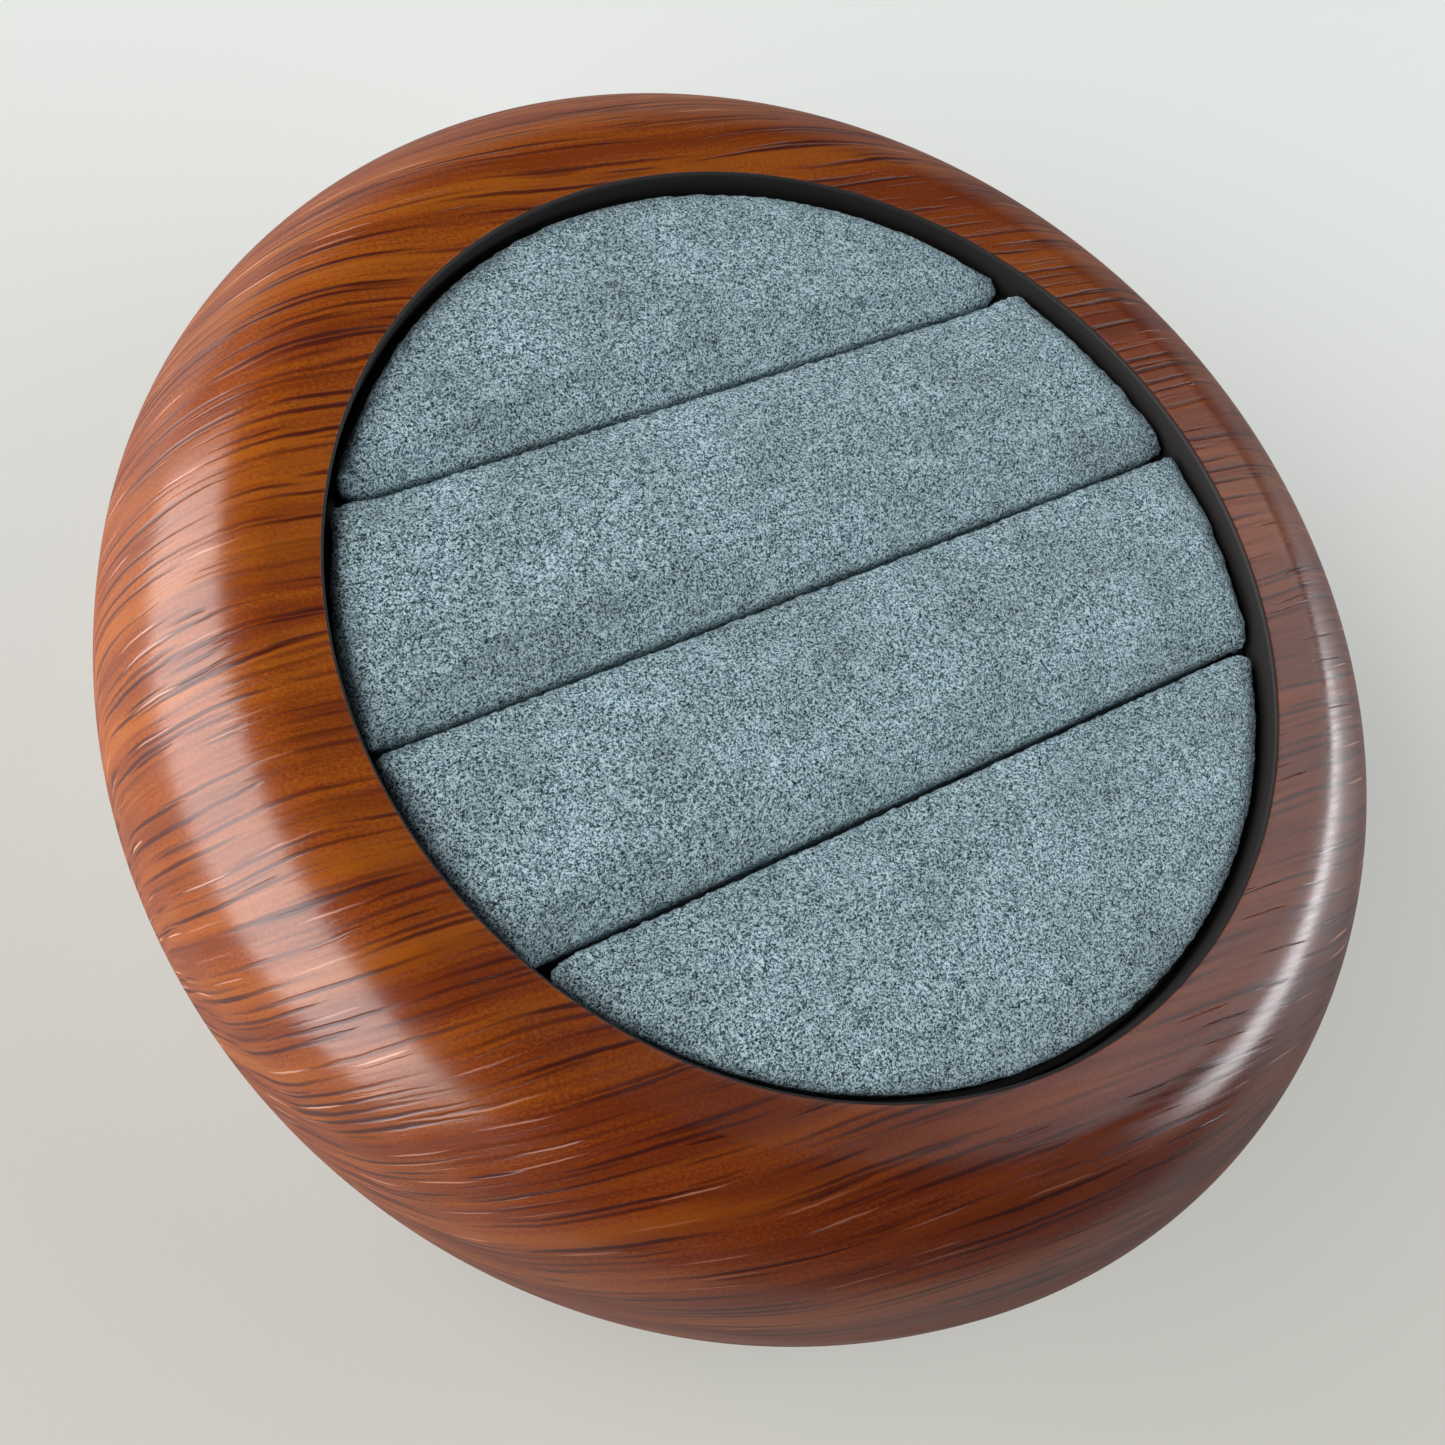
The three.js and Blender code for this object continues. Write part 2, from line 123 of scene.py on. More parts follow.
# PET film printed and embossed with wood grain, drawn over the moulded ABS shell: a saturated
# orange-brown print with thin dark grain lines in loose groups, pores pressed into a satin coat.
filmLook = {
    "light": "#9D540E", "middle": "#8E440A", "dark": "#793306", "line": "#4A1200",
    "shade": "#692804", "paintedShade": "#9D7C84", "paintedGlint": "#D3A08A",
    "sides": {"shadeSide": -66.0, "fewGlints": -112.0},    # degrees: painted shade, darker and redder towards one side; hardly any painted glints on the other
    # noise drawn out along the grain: mm along, mm across, seed, detail, roughness
    "bands": (60.0, 3.4, 11.0, 2.0, 0.5), "streaks": (12.0, 0.42, 23.0, 3.0, 0.6),
    "mottle": (0.32, 0.2, 61.0, 2.0, 0.5), "groups": (30.0, 3.0, 31.0, 2.0, 0.5),
    "tone": {"bands": 0.8, "streaks": 0.4, "mottle": 0.5},
    # how the grain wanders: mm along, mm across, seed, mm sideways
    "wanders": ((26.0, 9.0, 3.0, 1.0), (7.0, 2.2, 9.0, 0.13), (1.7, 0.8, 14.0, 0.055)),
    # tapered lines: spacing along and across, half length, half width in mm, seed, share left out
    "longLine": (23.0, 1.05, 11.4, 0.24, 5.0, 0.0), "shortLine": (8.0, 0.85, 3.8, 0.17, 17.0, 0.35),
    "pore": (9.0, 1.6, 2.8, 0.08, 47.0, 0.45), "glintLine": (9.0, 2.0, 3.6, 0.1, 71.0, 0.42),
    # how much of each thing shows: by what, from, to, and the amounts there
    "shown": {
        "shaded": ("groups", 0.46, 0.66, 0.0, 0.45), "longLine": ("groups", 0.34, 0.5, 0.6, 1.0),
        "shortLine": ("groups", 0.42, 0.56, 0.2, 1.0),
        "pore": ("height", 31.8 * mm, 29 * mm, 1.0, 0.15),      # dark pores fade over the bulge
        "bulgeGlints": ("height", 31.98 * mm, 30.6 * mm, 0.0, 1.0),  # and painted glints on the pores come up
        # painted glints on the pores, held back towards one side
        "fewGlints": ("fewGlints", 36 * mm, 50 * mm, 0.66, 0.132),
        # painted shade: the print darker and redder towards one side
        "paintedShade": ("shadeSide", -42 * mm, 48 * mm, 0.0, 1.0),
        # painted shade: the print darker across the grain towards the far side
        "far": ("across", 5 * mm, 45 * mm, 1.0, 0.86),
        "lineDepth": ("shadeSide", -15 * mm, 25.5 * mm, 0.5, 0.08),
        "coat": ("streaks", 0.3, 0.7, 0.19, 0.29), "edgeOn": ("facing", 0.42, 0.75, 0.0, 0.42),
    },
    "taper": 0.45, "cellFade": 0.09, "fadeIn": 0.45, "poreInk": 0.3, "grooveMatt": 0.12,
    "grooveDepth": 0.07, "peelSize": 0.5, "peelDepth": 0.004, "ior": 1.6,
}


def woodFilm():
    material, tree, shader, body = newMaterial("woodGrainFilm")
    look = filmLook
    grain = addNode(tree, "ShaderNodeUVMap", {"uv_map": "grainMap"}).outputs[0]

    def cells(along, across, seed, aside):
        # the grain's plane, shifted, and squeezed so that a cell is one unit each way
        return addNode(tree, "ShaderNodeMapping", inputs={
            "Vector": grain, "Location": (seed, aside * seed, 0),
            "Scale": (1 / (along * mm), 1 / (across * mm), 1)})

    def stretched(along, across, seed, detail, roughness=0.5):
        return addNode(tree, "ShaderNodeTexNoise", {"noise_dimensions": "2D"}, {
            "Vector": cells(along, across, seed, 3.7), "Scale": 1.0, "Detail": detail,
            "Roughness": roughness})

    for along, across, seed, sideways in look["wanders"]:
        lift = addNode(tree, "ShaderNodeMapRange", inputs={
            "Value": stretched(along, across, seed, 1.0),
            "To Min": -sideways * mm, "To Max": sideways * mm})
        shift = addNode(tree, "ShaderNodeCombineXYZ", inputs={"Y": lift})
        grain = addNode(tree, "ShaderNodeVectorMath", {"operation": "ADD"}, {0: grain, 1: shift})

    guides = {name: stretched(*look[name]) for name in ("bands", "streaks", "mottle", "groups")}
    guides["height"] = addNode(tree, "ShaderNodeSeparateXYZ", inputs={0: body}).outputs[2]
    guides["across"] = addNode(tree, "ShaderNodeSeparateXYZ", inputs={0: grain}).outputs[1]
    guides["facing"] = addNode(tree, "ShaderNodeLayerWeight").outputs["Facing"]
    for name, degrees in look["sides"].items():
        turn = math.radians(degrees)
        guides[name] = addNode(tree, "ShaderNodeVectorMath", {"operation": "DOT_PRODUCT"}, {
            0: body, 1: (math.cos(turn), math.sin(turn), 0)}).outputs["Value"]
    shown = {}
    for name, (guide, low, high, atLow, atHigh) in look["shown"].items():
        shown[name] = addNode(tree, "ShaderNodeMapRange", inputs={
            "Value": guides[guide], "From Min": low, "From Max": high,
            "To Min": atLow, "To Max": atHigh})

    def lines(sizes, strength):
        # one tapered line in each cell of a stretched Voronoi pattern, some of them left out
        along, across, halfLong, halfWide, seed, missing = sizes
        spot = cells(along, across, seed, 2.3)
        cell = addNode(tree, "ShaderNodeTexVoronoi", {"voronoi_dimensions": "2D"}, {
            "Vector": spot, "Scale": 1.0})
        off = addNode(tree, "ShaderNodeVectorMath", {"operation": "SUBTRACT"}, {
            0: spot, 1: cell.outputs["Position"]})
        shaped = addNode(tree, "ShaderNodeVectorMath", {"operation": "MULTIPLY"}, {
            0: off, 1: (along / halfLong, across / halfWide, 0)})
        reach = addNode(tree, "ShaderNodeVectorMath", {"operation": "LENGTH"}, {0: shaped})
        line = addNode(tree, "ShaderNodeMapRange", inputs={
            "Value": reach.outputs["Value"], "From Min": 1.0, "From Max": look["taper"]})
        border = addNode(tree, "ShaderNodeTexVoronoi", {
            "voronoi_dimensions": "2D", "feature": "DISTANCE_TO_EDGE"}, {
            "Vector": spot, "Scale": 1.0})
        inside = addNode(tree, "ShaderNodeMapRange", inputs={
            "Value": border.outputs["Distance"], "From Max": look["cellFade"]})
        chance = addNode(tree, "ShaderNodeSeparateColor", inputs={0: cell.outputs["Color"]})
        there = addNode(tree, "ShaderNodeMapRange", inputs={
            "Value": chance, "From Min": missing, "From Max": missing + look["fadeIn"]})
        for factor in (inside, there, strength):
            line = addNode(tree, "ShaderNodeMath", {"operation": "MULTIPLY"}, {0: line, 1: factor})
        return line

    tone = 0.0
    for name, weight in look["tone"].items():
        tone = addNode(tree, "ShaderNodeMath", {"operation": "MULTIPLY_ADD"}, {
            0: guides[name], 1: weight, 2: tone})
    ink = addNode(tree, "ShaderNodeValToRGB", inputs={"Fac": tone}, stops=(
        (0.7, look["light"]), (1.0, look["dark"]), (0.85, look["middle"])))
    longLines = lines(look["longLine"], shown["longLine"])
    shortLines = lines(look["shortLine"], shown["shortLine"])
    pores = lines(look["pore"], shown["pore"])
    poreInk = addNode(tree, "ShaderNodeMath", {"operation": "MULTIPLY"}, {
        0: pores, 1: look["poreInk"]})
    # the print's tones and lines, then painted shade: a darker, redder tint towards one side
    for factor, colour, blend in (
            (shown["shaded"], "shade", "MIX"), (longLines, "line", "MIX"),
            (shortLines, "line", "MIX"), (poreInk, "line", "MIX"),
            (shown["paintedShade"], "paintedShade", "MULTIPLY")):
        ink = addNode(tree, "ShaderNodeMix", {"data_type": "RGBA", "blend_type": blend}, {
            "Factor": factor, 6: ink, 7: linear(look[colour])}).outputs[2]
    # painted shade: the whole print darker towards the far side
    farShaded = addNode(tree, "ShaderNodeVectorMath", {"operation": "SCALE"}, {
        0: ink, "Scale": shown["far"]})
    # painted glints: pale pore dashes laid over the bulge, fewer towards one side
    glintShare = addNode(tree, "ShaderNodeMath", {"operation": "MULTIPLY"}, {
        0: shown["bulgeGlints"], 1: shown["fewGlints"]})
    printAndGlints = addNode(tree, "ShaderNodeMix", {"data_type": "RGBA"}, {
        "Factor": lines(look["glintLine"], glintShare), 6: farShaded, 7: linear(look["paintedGlint"])}).outputs[2]

    # lines and pores pressed in, and a slight orange peel in the coat
    peel = addNode(tree, "ShaderNodeTexNoise", inputs={
        "Vector": body, "Scale": 1 / (look["peelSize"] * mm), "Detail": 1.0})
    peelBump = addNode(tree, "ShaderNodeBump", inputs={
        "Strength": 0.4, "Distance": look["peelDepth"] * mm, "Height": peel})
    bothLines = addNode(tree, "ShaderNodeMath", {"operation": "ADD"}, {0: longLines, 1: shortLines})
    grooves = addNode(tree, "ShaderNodeMath", {"operation": "MULTIPLY_ADD"}, {
        0: bothLines, 1: shown["lineDepth"], 2: pores})
    grooveBump = addNode(tree, "ShaderNodeBump", {"invert": True}, {
        "Strength": 0.9, "Distance": look["grooveDepth"] * mm,
        "Height": grooves, "Normal": peelBump})
    # grooves are matt, and the satin coat loses its gloss where it is seen edge-on
    matt = addNode(tree, "ShaderNodeMath", {"operation": "MULTIPLY_ADD"}, {
        0: grooves, 1: look["grooveMatt"], 2: shown["edgeOn"]})
    rough = addNode(tree, "ShaderNodeMath", {"operation": "ADD"}, {0: shown["coat"], 1: matt})
    setInputs(tree, shader, {
        "Base Color": printAndGlints, "Normal": grooveBump, "Roughness": rough, "IOR": look["ior"]})
    return material


def mottledPlastic(name, colour, roughness, size):
    # moulded plastic with a fine spark-eroded skin, bare of film
    material, tree, shader, place = newMaterial(name)
    skin = addNode(tree, "ShaderNodeTexNoise", inputs={
        "Vector": place, "Scale": 1 / (size * mm), "Detail": 3.0})
    rough = addNode(tree, "ShaderNodeMapRange", inputs={
        "Value": skin, "To Min": roughness - 0.06, "To Max": roughness + 0.06})
    bump = addNode(tree, "ShaderNodeBump", inputs={
        "Strength": 0.4, "Distance": 0.01 * mm, "Height": skin})
    setInputs(tree, shader, {
        "Base Color": linear(colour), "Roughness": rough, "Normal": bump, "IOR": 1.5})
    return material


# Brushed polyester microsuede: matt blue-grey, short curly fibres that lie every way over a darker
# ground, and patches where the nap lies over. The patches are shifted so that they also paint
# shade: lighter in the middle of the insert, darker towards its sides.
suedeLook = {
    "light": "#BED9E1", "middle": "#5F7F8C", "dark": "#081D24", "sheen": "#A9C6D2",
    "fibreSize": 0.5, "finerFibre": 0.8, "fibreWidth": 0.06, "curl": 1.5, "fibreGain": 0.75,
    "speckSize": 0.18, "speckTwist": 0.6, "speckGain": 2.7, "ground": -1.13,
    "patchSize": 8.0, "shadePatchShift": (-8.5 * mm, -24.5 * mm, 0.0), "patchTone": (0.84, 1.14),
    "depth": 0.08,
}


def microsuede():
    material, tree, shader, place = newMaterial("brushedMicrosuede")
    look = suedeLook

    def twisted(size, seed, twist):
        spot = addNode(tree, "ShaderNodeVectorMath", {"operation": "ADD"}, {
            0: place, 1: (seed, 2 * seed, 3 * seed)})
        return addNode(tree, "ShaderNodeTexNoise", inputs={
            "Vector": spot, "Scale": 1 / (size * mm), "Detail": 1.0, "Distortion": twist})

    def curls(size, seed):
        # bright along the middle line of a twisted noise
        off = addNode(tree, "ShaderNodeMath", {"operation": "SUBTRACT"}, {
            0: twisted(size, seed, look["curl"]), 1: 0.5})
        fold = addNode(tree, "ShaderNodeMath", {"operation": "ABSOLUTE"}, {0: off})
        return addNode(tree, "ShaderNodeMapRange", {"interpolation_type": "SMOOTHSTEP"}, {
            "Value": fold, "From Min": look["fibreWidth"], "From Max": 0.0})

    highest = addNode(tree, "ShaderNodeMath", {"operation": "MAXIMUM"}, {
        0: curls(look["fibreSize"], 0.3), 1: curls(look["fibreSize"] * look["finerFibre"], 1.1)})
    specks = addNode(tree, "ShaderNodeMath", {"operation": "MULTIPLY_ADD"}, {
        0: twisted(look["speckSize"], 2.3, look["speckTwist"]), 1: look["speckGain"],
        2: look["ground"]})
    nap = addNode(tree, "ShaderNodeMath", {"operation": "MULTIPLY_ADD"}, {
        0: highest, 1: look["fibreGain"], 2: specks})
    fibres = addNode(tree, "ShaderNodeValToRGB", inputs={"Fac": nap}, stops=(
        (0.0, look["dark"]), (0.85, look["light"]), (0.38, look["middle"])))
    # patches of nap, shifted so that they also paint shade: lighter mid-insert, darker towards its
    # sides
    shifted = addNode(tree, "ShaderNodeVectorMath", {"operation": "ADD"}, {
        0: place, 1: look["shadePatchShift"]})
    patches = addNode(tree, "ShaderNodeTexNoise", inputs={
        "Vector": shifted, "Scale": 1 / (look["patchSize"] * mm), "Detail": 3.0})
    napAndShade = addNode(tree, "ShaderNodeMapRange", inputs={
        "Value": patches, "From Min": 0.3, "From Max": 0.7,
        "To Min": look["patchTone"][0], "To Max": look["patchTone"][1]})
    toned = addNode(tree, "ShaderNodeVectorMath", {"operation": "SCALE"}, {
        0: fibres, "Scale": napAndShade})
    bump = addNode(tree, "ShaderNodeBump", inputs={
        "Strength": 0.8, "Distance": look["depth"] * mm, "Height": nap})
    setInputs(tree, shader, {
        "Base Color": toned, "Normal": bump, "Roughness": 0.95, "Sheen Weight": 0.15,
        "Sheen Tint": linear(look["sheen"]), "Sheen Roughness": 0.5})
    return material


def fibrousBoard(name, light, dark, size, depth, roughness):
    # felt, greyboard and foam: a matt body with specks and a pitted or fibrous skin
    material, tree, shader, place = newMaterial(name)
    specks = addNode(tree, "ShaderNodeTexNoise", inputs={
        "Vector": place, "Scale": 1 / (size * mm), "Detail": 4.0, "Distortion": 0.8})
    colour = addNode(tree, "ShaderNodeValToRGB", inputs={"Fac": specks}, stops=(
        (0.38, dark), (0.62, light)))
    bump = addNode(tree, "ShaderNodeBump", inputs={
        "Strength": 0.7, "Distance": depth * mm, "Height": specks})
    setInputs(tree, shader, {"Base Color": colour, "Normal": bump, "Roughness": roughness})
    return material


def zincSteel():
    # zinc-plated steel: pale metal with a fine turned finish
    material, tree, shader, place = newMaterial("zincPlatedSteel")
    marks = addNode(tree, "ShaderNodeTexNoise", inputs={
        "Vector": place, "Scale": 1 / (0.3 * mm), "Detail": 3.0})
    rough = addNode(tree, "ShaderNodeMapRange", inputs={
        "Value": marks, "To Min": 0.25, "To Max": 0.45})
    setInputs(tree, shader, {
        "Base Color": linear("#C3C6C9"), "Metallic": 1.0, "Roughness": rough})
    return material


film = woodFilm()
bareShell = mottledPlastic("bareAbsShell", "#0D0B0A", 0.7, 0.25)
blackCup = mottledPlastic("blackStyreneCup", "#0B0A0A", 0.75, 0.2)
suede = microsuede()
felt = fibrousBoard("pressedFelt", "#3A322E", "#1B1614", 0.35, 0.12, 0.97)
greyboard = fibrousBoard("rawGreyboard", "#9A968D", "#7C786F", 0.5, 0.03, 0.9)
foamBody = fibrousBoard("openCellFoam", "#E2DDD0", "#A9A393", 0.45, 0.2, 0.9)
steel = zincSteel()
print("materials made")


def newTree(name, sockets):
    # a Geometry Nodes tree that takes a mesh and the named inputs, and gives a mesh
    tree = bpy.data.node_groups.new(name, "GeometryNodeTree")
    for title, kind in (("Geometry", "Geometry"), *sockets):
        tree.interface.new_socket(title, in_out="INPUT", socket_type="NodeSocket" + kind)
    tree.interface.new_socket("Geometry", in_out="OUTPUT", socket_type="NodeSocketGeometry")
    return tree, addNode(tree, "NodeGroupInput").outputs


def runTree(piece, tree, values):
    # the piece as the tree makes it; each input is set by its socket's identifier
    change = piece.modifiers.new(tree.name, "NODES")
    change.node_group = tree
    for item in tree.interface.items_tree:
        if item.in_out == "INPUT" and item.name in values:
            change[item.identifier] = values[item.name]
    return applied(piece)


def turnedTree():
    # Turns a profile of points (radius, 0, height) round the upright axis. The points carry
    # grainRadius, where the film's print lies, and filmed, 1 where film covers the shell.
    tree, given = newTree("turnedPiece", (
        ("Turns", "Int"), ("Grain Angle", "Float"), ("Film", "Material"), ("Body", "Material")))
    rows = addNode(tree, "GeometryNodeAttributeDomainSize", {"component": "MESH"}, {
        "Geometry": given["Geometry"]}).outputs["Point Count"]
    columns = addNode(tree, "ShaderNodeMath", {"operation": "ADD"}, {0: given["Turns"], 1: 1.0})
    mesh = addNode(tree, "GeometryNodeMeshGrid", inputs={
        "Vertices X": columns, "Vertices Y": rows}).outputs["Mesh"]
    index = addNode(tree, "GeometryNodeInputIndex")
    ratio = addNode(tree, "ShaderNodeMath", {"operation": "DIVIDE"}, {0: index, 1: rows})
    column = addNode(tree, "ShaderNodeMath", {"operation": "FLOOR"}, {0: ratio})
    row = addNode(tree, "ShaderNodeMath", {"operation": "MODULO"}, {0: index, 1: rows})
    share = addNode(tree, "ShaderNodeMath", {"operation": "DIVIDE"}, {0: column, 1: given["Turns"]})
    angle = addNode(tree, "ShaderNodeMath", {"operation": "MULTIPLY"}, {0: share, 1: 2 * math.pi})

    # each grid point takes the place, and then the values, of the profile's point in its row
    place = addNode(tree, "GeometryNodeInputPosition")
    grainRadius, filmed = (addNode(tree, "GeometryNodeInputNamedAttribute", {
        "data_type": "FLOAT"}, {"Name": name}) for name in ("grainRadius", "filmed"))
    ofRow = [addNode(tree, "GeometryNodeSampleIndex", {"data_type": kind}, {
        "Geometry": given["Geometry"], "Value": value, "Index": row})
        for kind, value in (("FLOAT_VECTOR", place), ("FLOAT", grainRadius), ("FLOAT", filmed))]
    spun = addNode(tree, "ShaderNodeVectorRotate", {"rotation_type": "Z_AXIS"}, {
        "Vector": ofRow[0], "Angle": angle})
    mesh = addNode(tree, "GeometryNodeSetPosition", inputs={"Geometry": mesh, "Position": spun})
    for name, value in (("grainRadius", ofRow[1]), ("filmed", ofRow[2])):
        mesh = addNode(tree, "GeometryNodeStoreNamedAttribute", {
            "data_type": "FLOAT", "domain": "POINT"}, {
            "Geometry": mesh, "Name": name, "Value": value})
    mesh = addNode(tree, "GeometryNodeMergeByDistance", inputs={
        "Geometry": mesh, "Distance": 0.0005 * mm})

    # where the print lies: its own radius, along the direction of the point, turned to the grain
    flat = addNode(tree, "ShaderNodeVectorMath", {"operation": "MULTIPLY"}, {
        0: place, 1: (1, 1, 0)})
    outward = addNode(tree, "ShaderNodeVectorMath", {"operation": "NORMALIZE"}, {0: flat})
    laid = addNode(tree, "ShaderNodeVectorMath", {"operation": "SCALE"}, {
        0: outward, "Scale": grainRadius})
    turnBack = addNode(tree, "ShaderNodeMath", {"operation": "MULTIPLY"}, {
        0: given["Grain Angle"], 1: -1.0})
    grainPlace = addNode(tree, "ShaderNodeVectorRotate", {"rotation_type": "Z_AXIS"}, {
        "Vector": laid, "Angle": turnBack})
    mesh = addNode(tree, "GeometryNodeStoreNamedAttribute", {
        "data_type": "FLOAT2", "domain": "CORNER"}, {
        "Geometry": mesh, "Name": "grainMap", "Value": grainPlace})

    # smooth, but for the edges that fold by more than 35 degrees
    mesh = addNode(tree, "GeometryNodeSetShadeSmooth", {"domain": "FACE"}, {
        "Geometry": mesh, "Shade Smooth": True})
    fold = addNode(tree, "GeometryNodeInputMeshEdgeAngle")
    sharp = addNode(tree, "ShaderNodeMath", {"operation": "GREATER_THAN"}, {
        0: fold, 1: math.radians(35)})
    mesh = addNode(tree, "GeometryNodeSetShadeSmooth", {"domain": "EDGE"}, {
        "Geometry": mesh, "Selection": sharp, "Shade Smooth": False})
    filmFaces = addNode(tree, "ShaderNodeMath", {"operation": "GREATER_THAN"}, {0: filmed, 1: 0.99})
    mesh = addNode(tree, "GeometryNodeRealizeInstances", inputs={"Geometry": mesh})
    mesh = addNode(tree, "GeometryNodeSetMaterial", inputs={
        "Geometry": mesh, "Material": given["Body"]})
    mesh = addNode(tree, "GeometryNodeSetMaterial", inputs={
        "Geometry": mesh, "Selection": filmFaces, "Material": given["Film"]})
    addNode(tree, "NodeGroupOutput", inputs={"Geometry": mesh})
    return tree


turned = turnedTree()


def turnedPiece(name, profile, filmMaterial, bodyMaterial, turns=288, grainAngle=0.0):
    # profile: (radius, height, grainRadius, filmed), round the section, material on its left
    closed = profile + profile[:1] if profile[0][0] > 0 or profile[-1][0] > 0 else profile
    piece = newObject(name, [(p[0], 0, p[1]) for p in closed], [])
    for column, attribute in ((2, "grainRadius"), (3, "filmed")):
        layer = piece.data.attributes.new(attribute, "FLOAT", "POINT")
        layer.data.foreach_set("value", [p[column] for p in closed])
    return runTree(piece, turned, {
        "Turns": turns, "Grain Angle": grainAngle, "Film": filmMaterial, "Body": bodyMaterial})


def bare(points):
    return [(r, z, r, 0.0) for r, z in points]


def turnedBare(name, points, material, turns):
    return turnedPiece(name, bare(points), material, material, turns=turns)


# Body: sizes of the two shells
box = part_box
shell = {
    "height": box("upper_shell")[1].z,
    "widest": box("upper_shell")[1].x,
    "footZ": box("lower_shell")[0].z,
    "parting": box("upper_shell")[0].z,
    "recess": 40.0 * mm, "rimFlat": 4.0 * mm, "equatorDrop": 11.6 * mm, "bellyReach": 17.1 * mm,
    "wall": 2.4 * mm, "shoulderExponent": 1.72, "bellyExponent": 2.6,
    "lipEdge": 0.35 * mm, "lipDepth": 6.0 * mm, "bareRows": (0, 1, 2, 3, 4, -1),
    "tongueHeight": 2.0 * mm, "tongueThickness": 1.0 * mm, "tongueClearance": 0.15 * mm,
    "padWell": 33.4 * mm, "padRecess": 1.5 * mm, "footEdge": 0.6 * mm,
    "seamRound": 0.25 * mm, "seamBare": 0.12 * mm,
    "grainAngle": math.radians(-7.5), "baseGrainAngle": math.radians(-4.0),
    "stretch": 0.42, "baseStretch": 0.1,
}
s = shell
s["equatorZ"] = s["height"] - s["equatorDrop"]
s["shoulderStart"] = s["recess"] + s["rimFlat"]
s["foot"] = s["widest"] - s["bellyReach"]


def shoulder(inset, steps):
    start = s["shoulderStart"] - inset / 2
    return [(start + (s["widest"] - inset - start) * along,
             s["equatorZ"] + (s["equatorDrop"] - inset) * up)
            for along, up in superellipse(s["shoulderExponent"], steps)]


def belly(inset, steps):
    end = s["foot"] - inset / 2
    return [(end + (s["widest"] - inset - end) * along,
             s["equatorZ"] - (s["equatorZ"] - s["footZ"] - inset) * down)
            for along, down in superellipse(s["bellyExponent"], steps)]


def radiusAt(outline, height):
    for (r0, z0), (r1, z1) in zip(outline, outline[1:]):
        if z1 <= height:
            return r0 + (r1 - r0) * (z0 - height) / (z0 - z1)
    return outline[-1][0]


def printed(outer, start, stretch):
    # the film's own radius along an outline: it stretches as it is drawn down over the bulge
    reach = start
    rows = []
    for i, (r, z) in enumerate(outer):
        if i:
            r0, z0 = outer[i - 1]
            gain = 1 + stretch * min(1.0, abs(z - outer[0][1]) / s["equatorDrop"])
            reach += math.hypot(r - r0, z - z0) * gain * reach / ((r + r0) / 2)
        rows.append((r, z, reach, 1.0))
    return rows


bellyOuter = belly(0, 90)
bellyInner = belly(s["wall"], 40)
partingOuter = radiusAt(bellyOuter, s["parting"])
partingInner = radiusAt(bellyInner, s["parting"])
tongueOuter = partingInner + s["tongueThickness"]
socketRadius = tongueOuter + s["tongueClearance"]
lowerFloor = s["padRecess"] + s["wall"]


def seamEdge(side):
    # the last points before the parting, above it or below: bare of film, and a little rounded
    bareZ = s["parting"] + side * s["seamBare"]
    return [(radiusAt(bellyOuter, bareZ), bareZ),
            (partingOuter - s["seamRound"] * 0.3, s["parting"])]


def topShell():
    flat = [(s["recess"] + s["lipEdge"] + s["rimFlat"] * k / 8, s["height"]) for k in range(1, 8)]
    outer = rounding(s["recess"], s["height"], s["lipEdge"], -s["lipEdge"], 6)
    outer += [p for p in flat if p[0] < s["shoulderStart"] - 0.1 * mm]
    outer += shoulder(0, 90)[::-1]
    outer += [p for p in bellyOuter[1:] if p[1] > s["parting"] + s["seamRound"]] + seamEdge(1)
    outside = printed(outer, s["recess"], s["stretch"])
    for k in s["bareRows"]:   # the film is cut at the recess edge and at the parting
        outside[k] = (*outside[k][:3], 0.0)
    socketTop = s["parting"] + s["tongueHeight"] + s["tongueClearance"]
    inner = [(partingOuter - s["wall"] / 2, s["parting"]),
             (socketRadius, s["parting"]), (socketRadius, socketTop),
             (radiusAt(bellyInner, socketTop), socketTop)]
    inner += [p for p in bellyInner[::-1] if socketTop < p[1] < s["equatorZ"]]
    inner += shoulder(s["wall"], 40)
    lipOuter = s["recess"] + s["wall"]
    inner += [(lipOuter, s["height"] - s["wall"]), (lipOuter, s["height"] - s["lipDepth"]),
              (s["recess"], s["height"] - s["lipDepth"])]
    # outside runs from the recess edge outwards and down, so the whole section is reversed
    section = outside + bare(inner)
    return turnedPiece("topShell", section[::-1], film, bareShell, grainAngle=s["grainAngle"])


def bottomShell():
    outer = [(s["padWell"] + s["footEdge"], s["footZ"])]
    outer += [p for p in bellyOuter[::-1] if p[1] < s["parting"] - s["seamRound"]] + seamEdge(-1)
    outside = printed(outer, s["padWell"], s["baseStretch"])
    outside[-1] = (*outside[-1][:3], 0.0)
    tongueTop = s["parting"] + s["tongueHeight"]
    inner = [(tongueOuter, s["parting"]), (tongueOuter, tongueTop), (partingInner, tongueTop)]
    inner += [p for p in bellyInner if lowerFloor < p[1] < s["parting"]]
    inner += [(radiusAt(bellyInner, lowerFloor), lowerFloor), (0, lowerFloor)]
    under = [(0, s["padRecess"]), (s["padWell"], s["padRecess"]),
             (s["padWell"], s["footZ"] + s["footEdge"])]
    section = bare(under) + outside + bare(inner)
    return turnedPiece("bottomShell", section, film, bareShell, grainAngle=s["baseGrainAngle"])


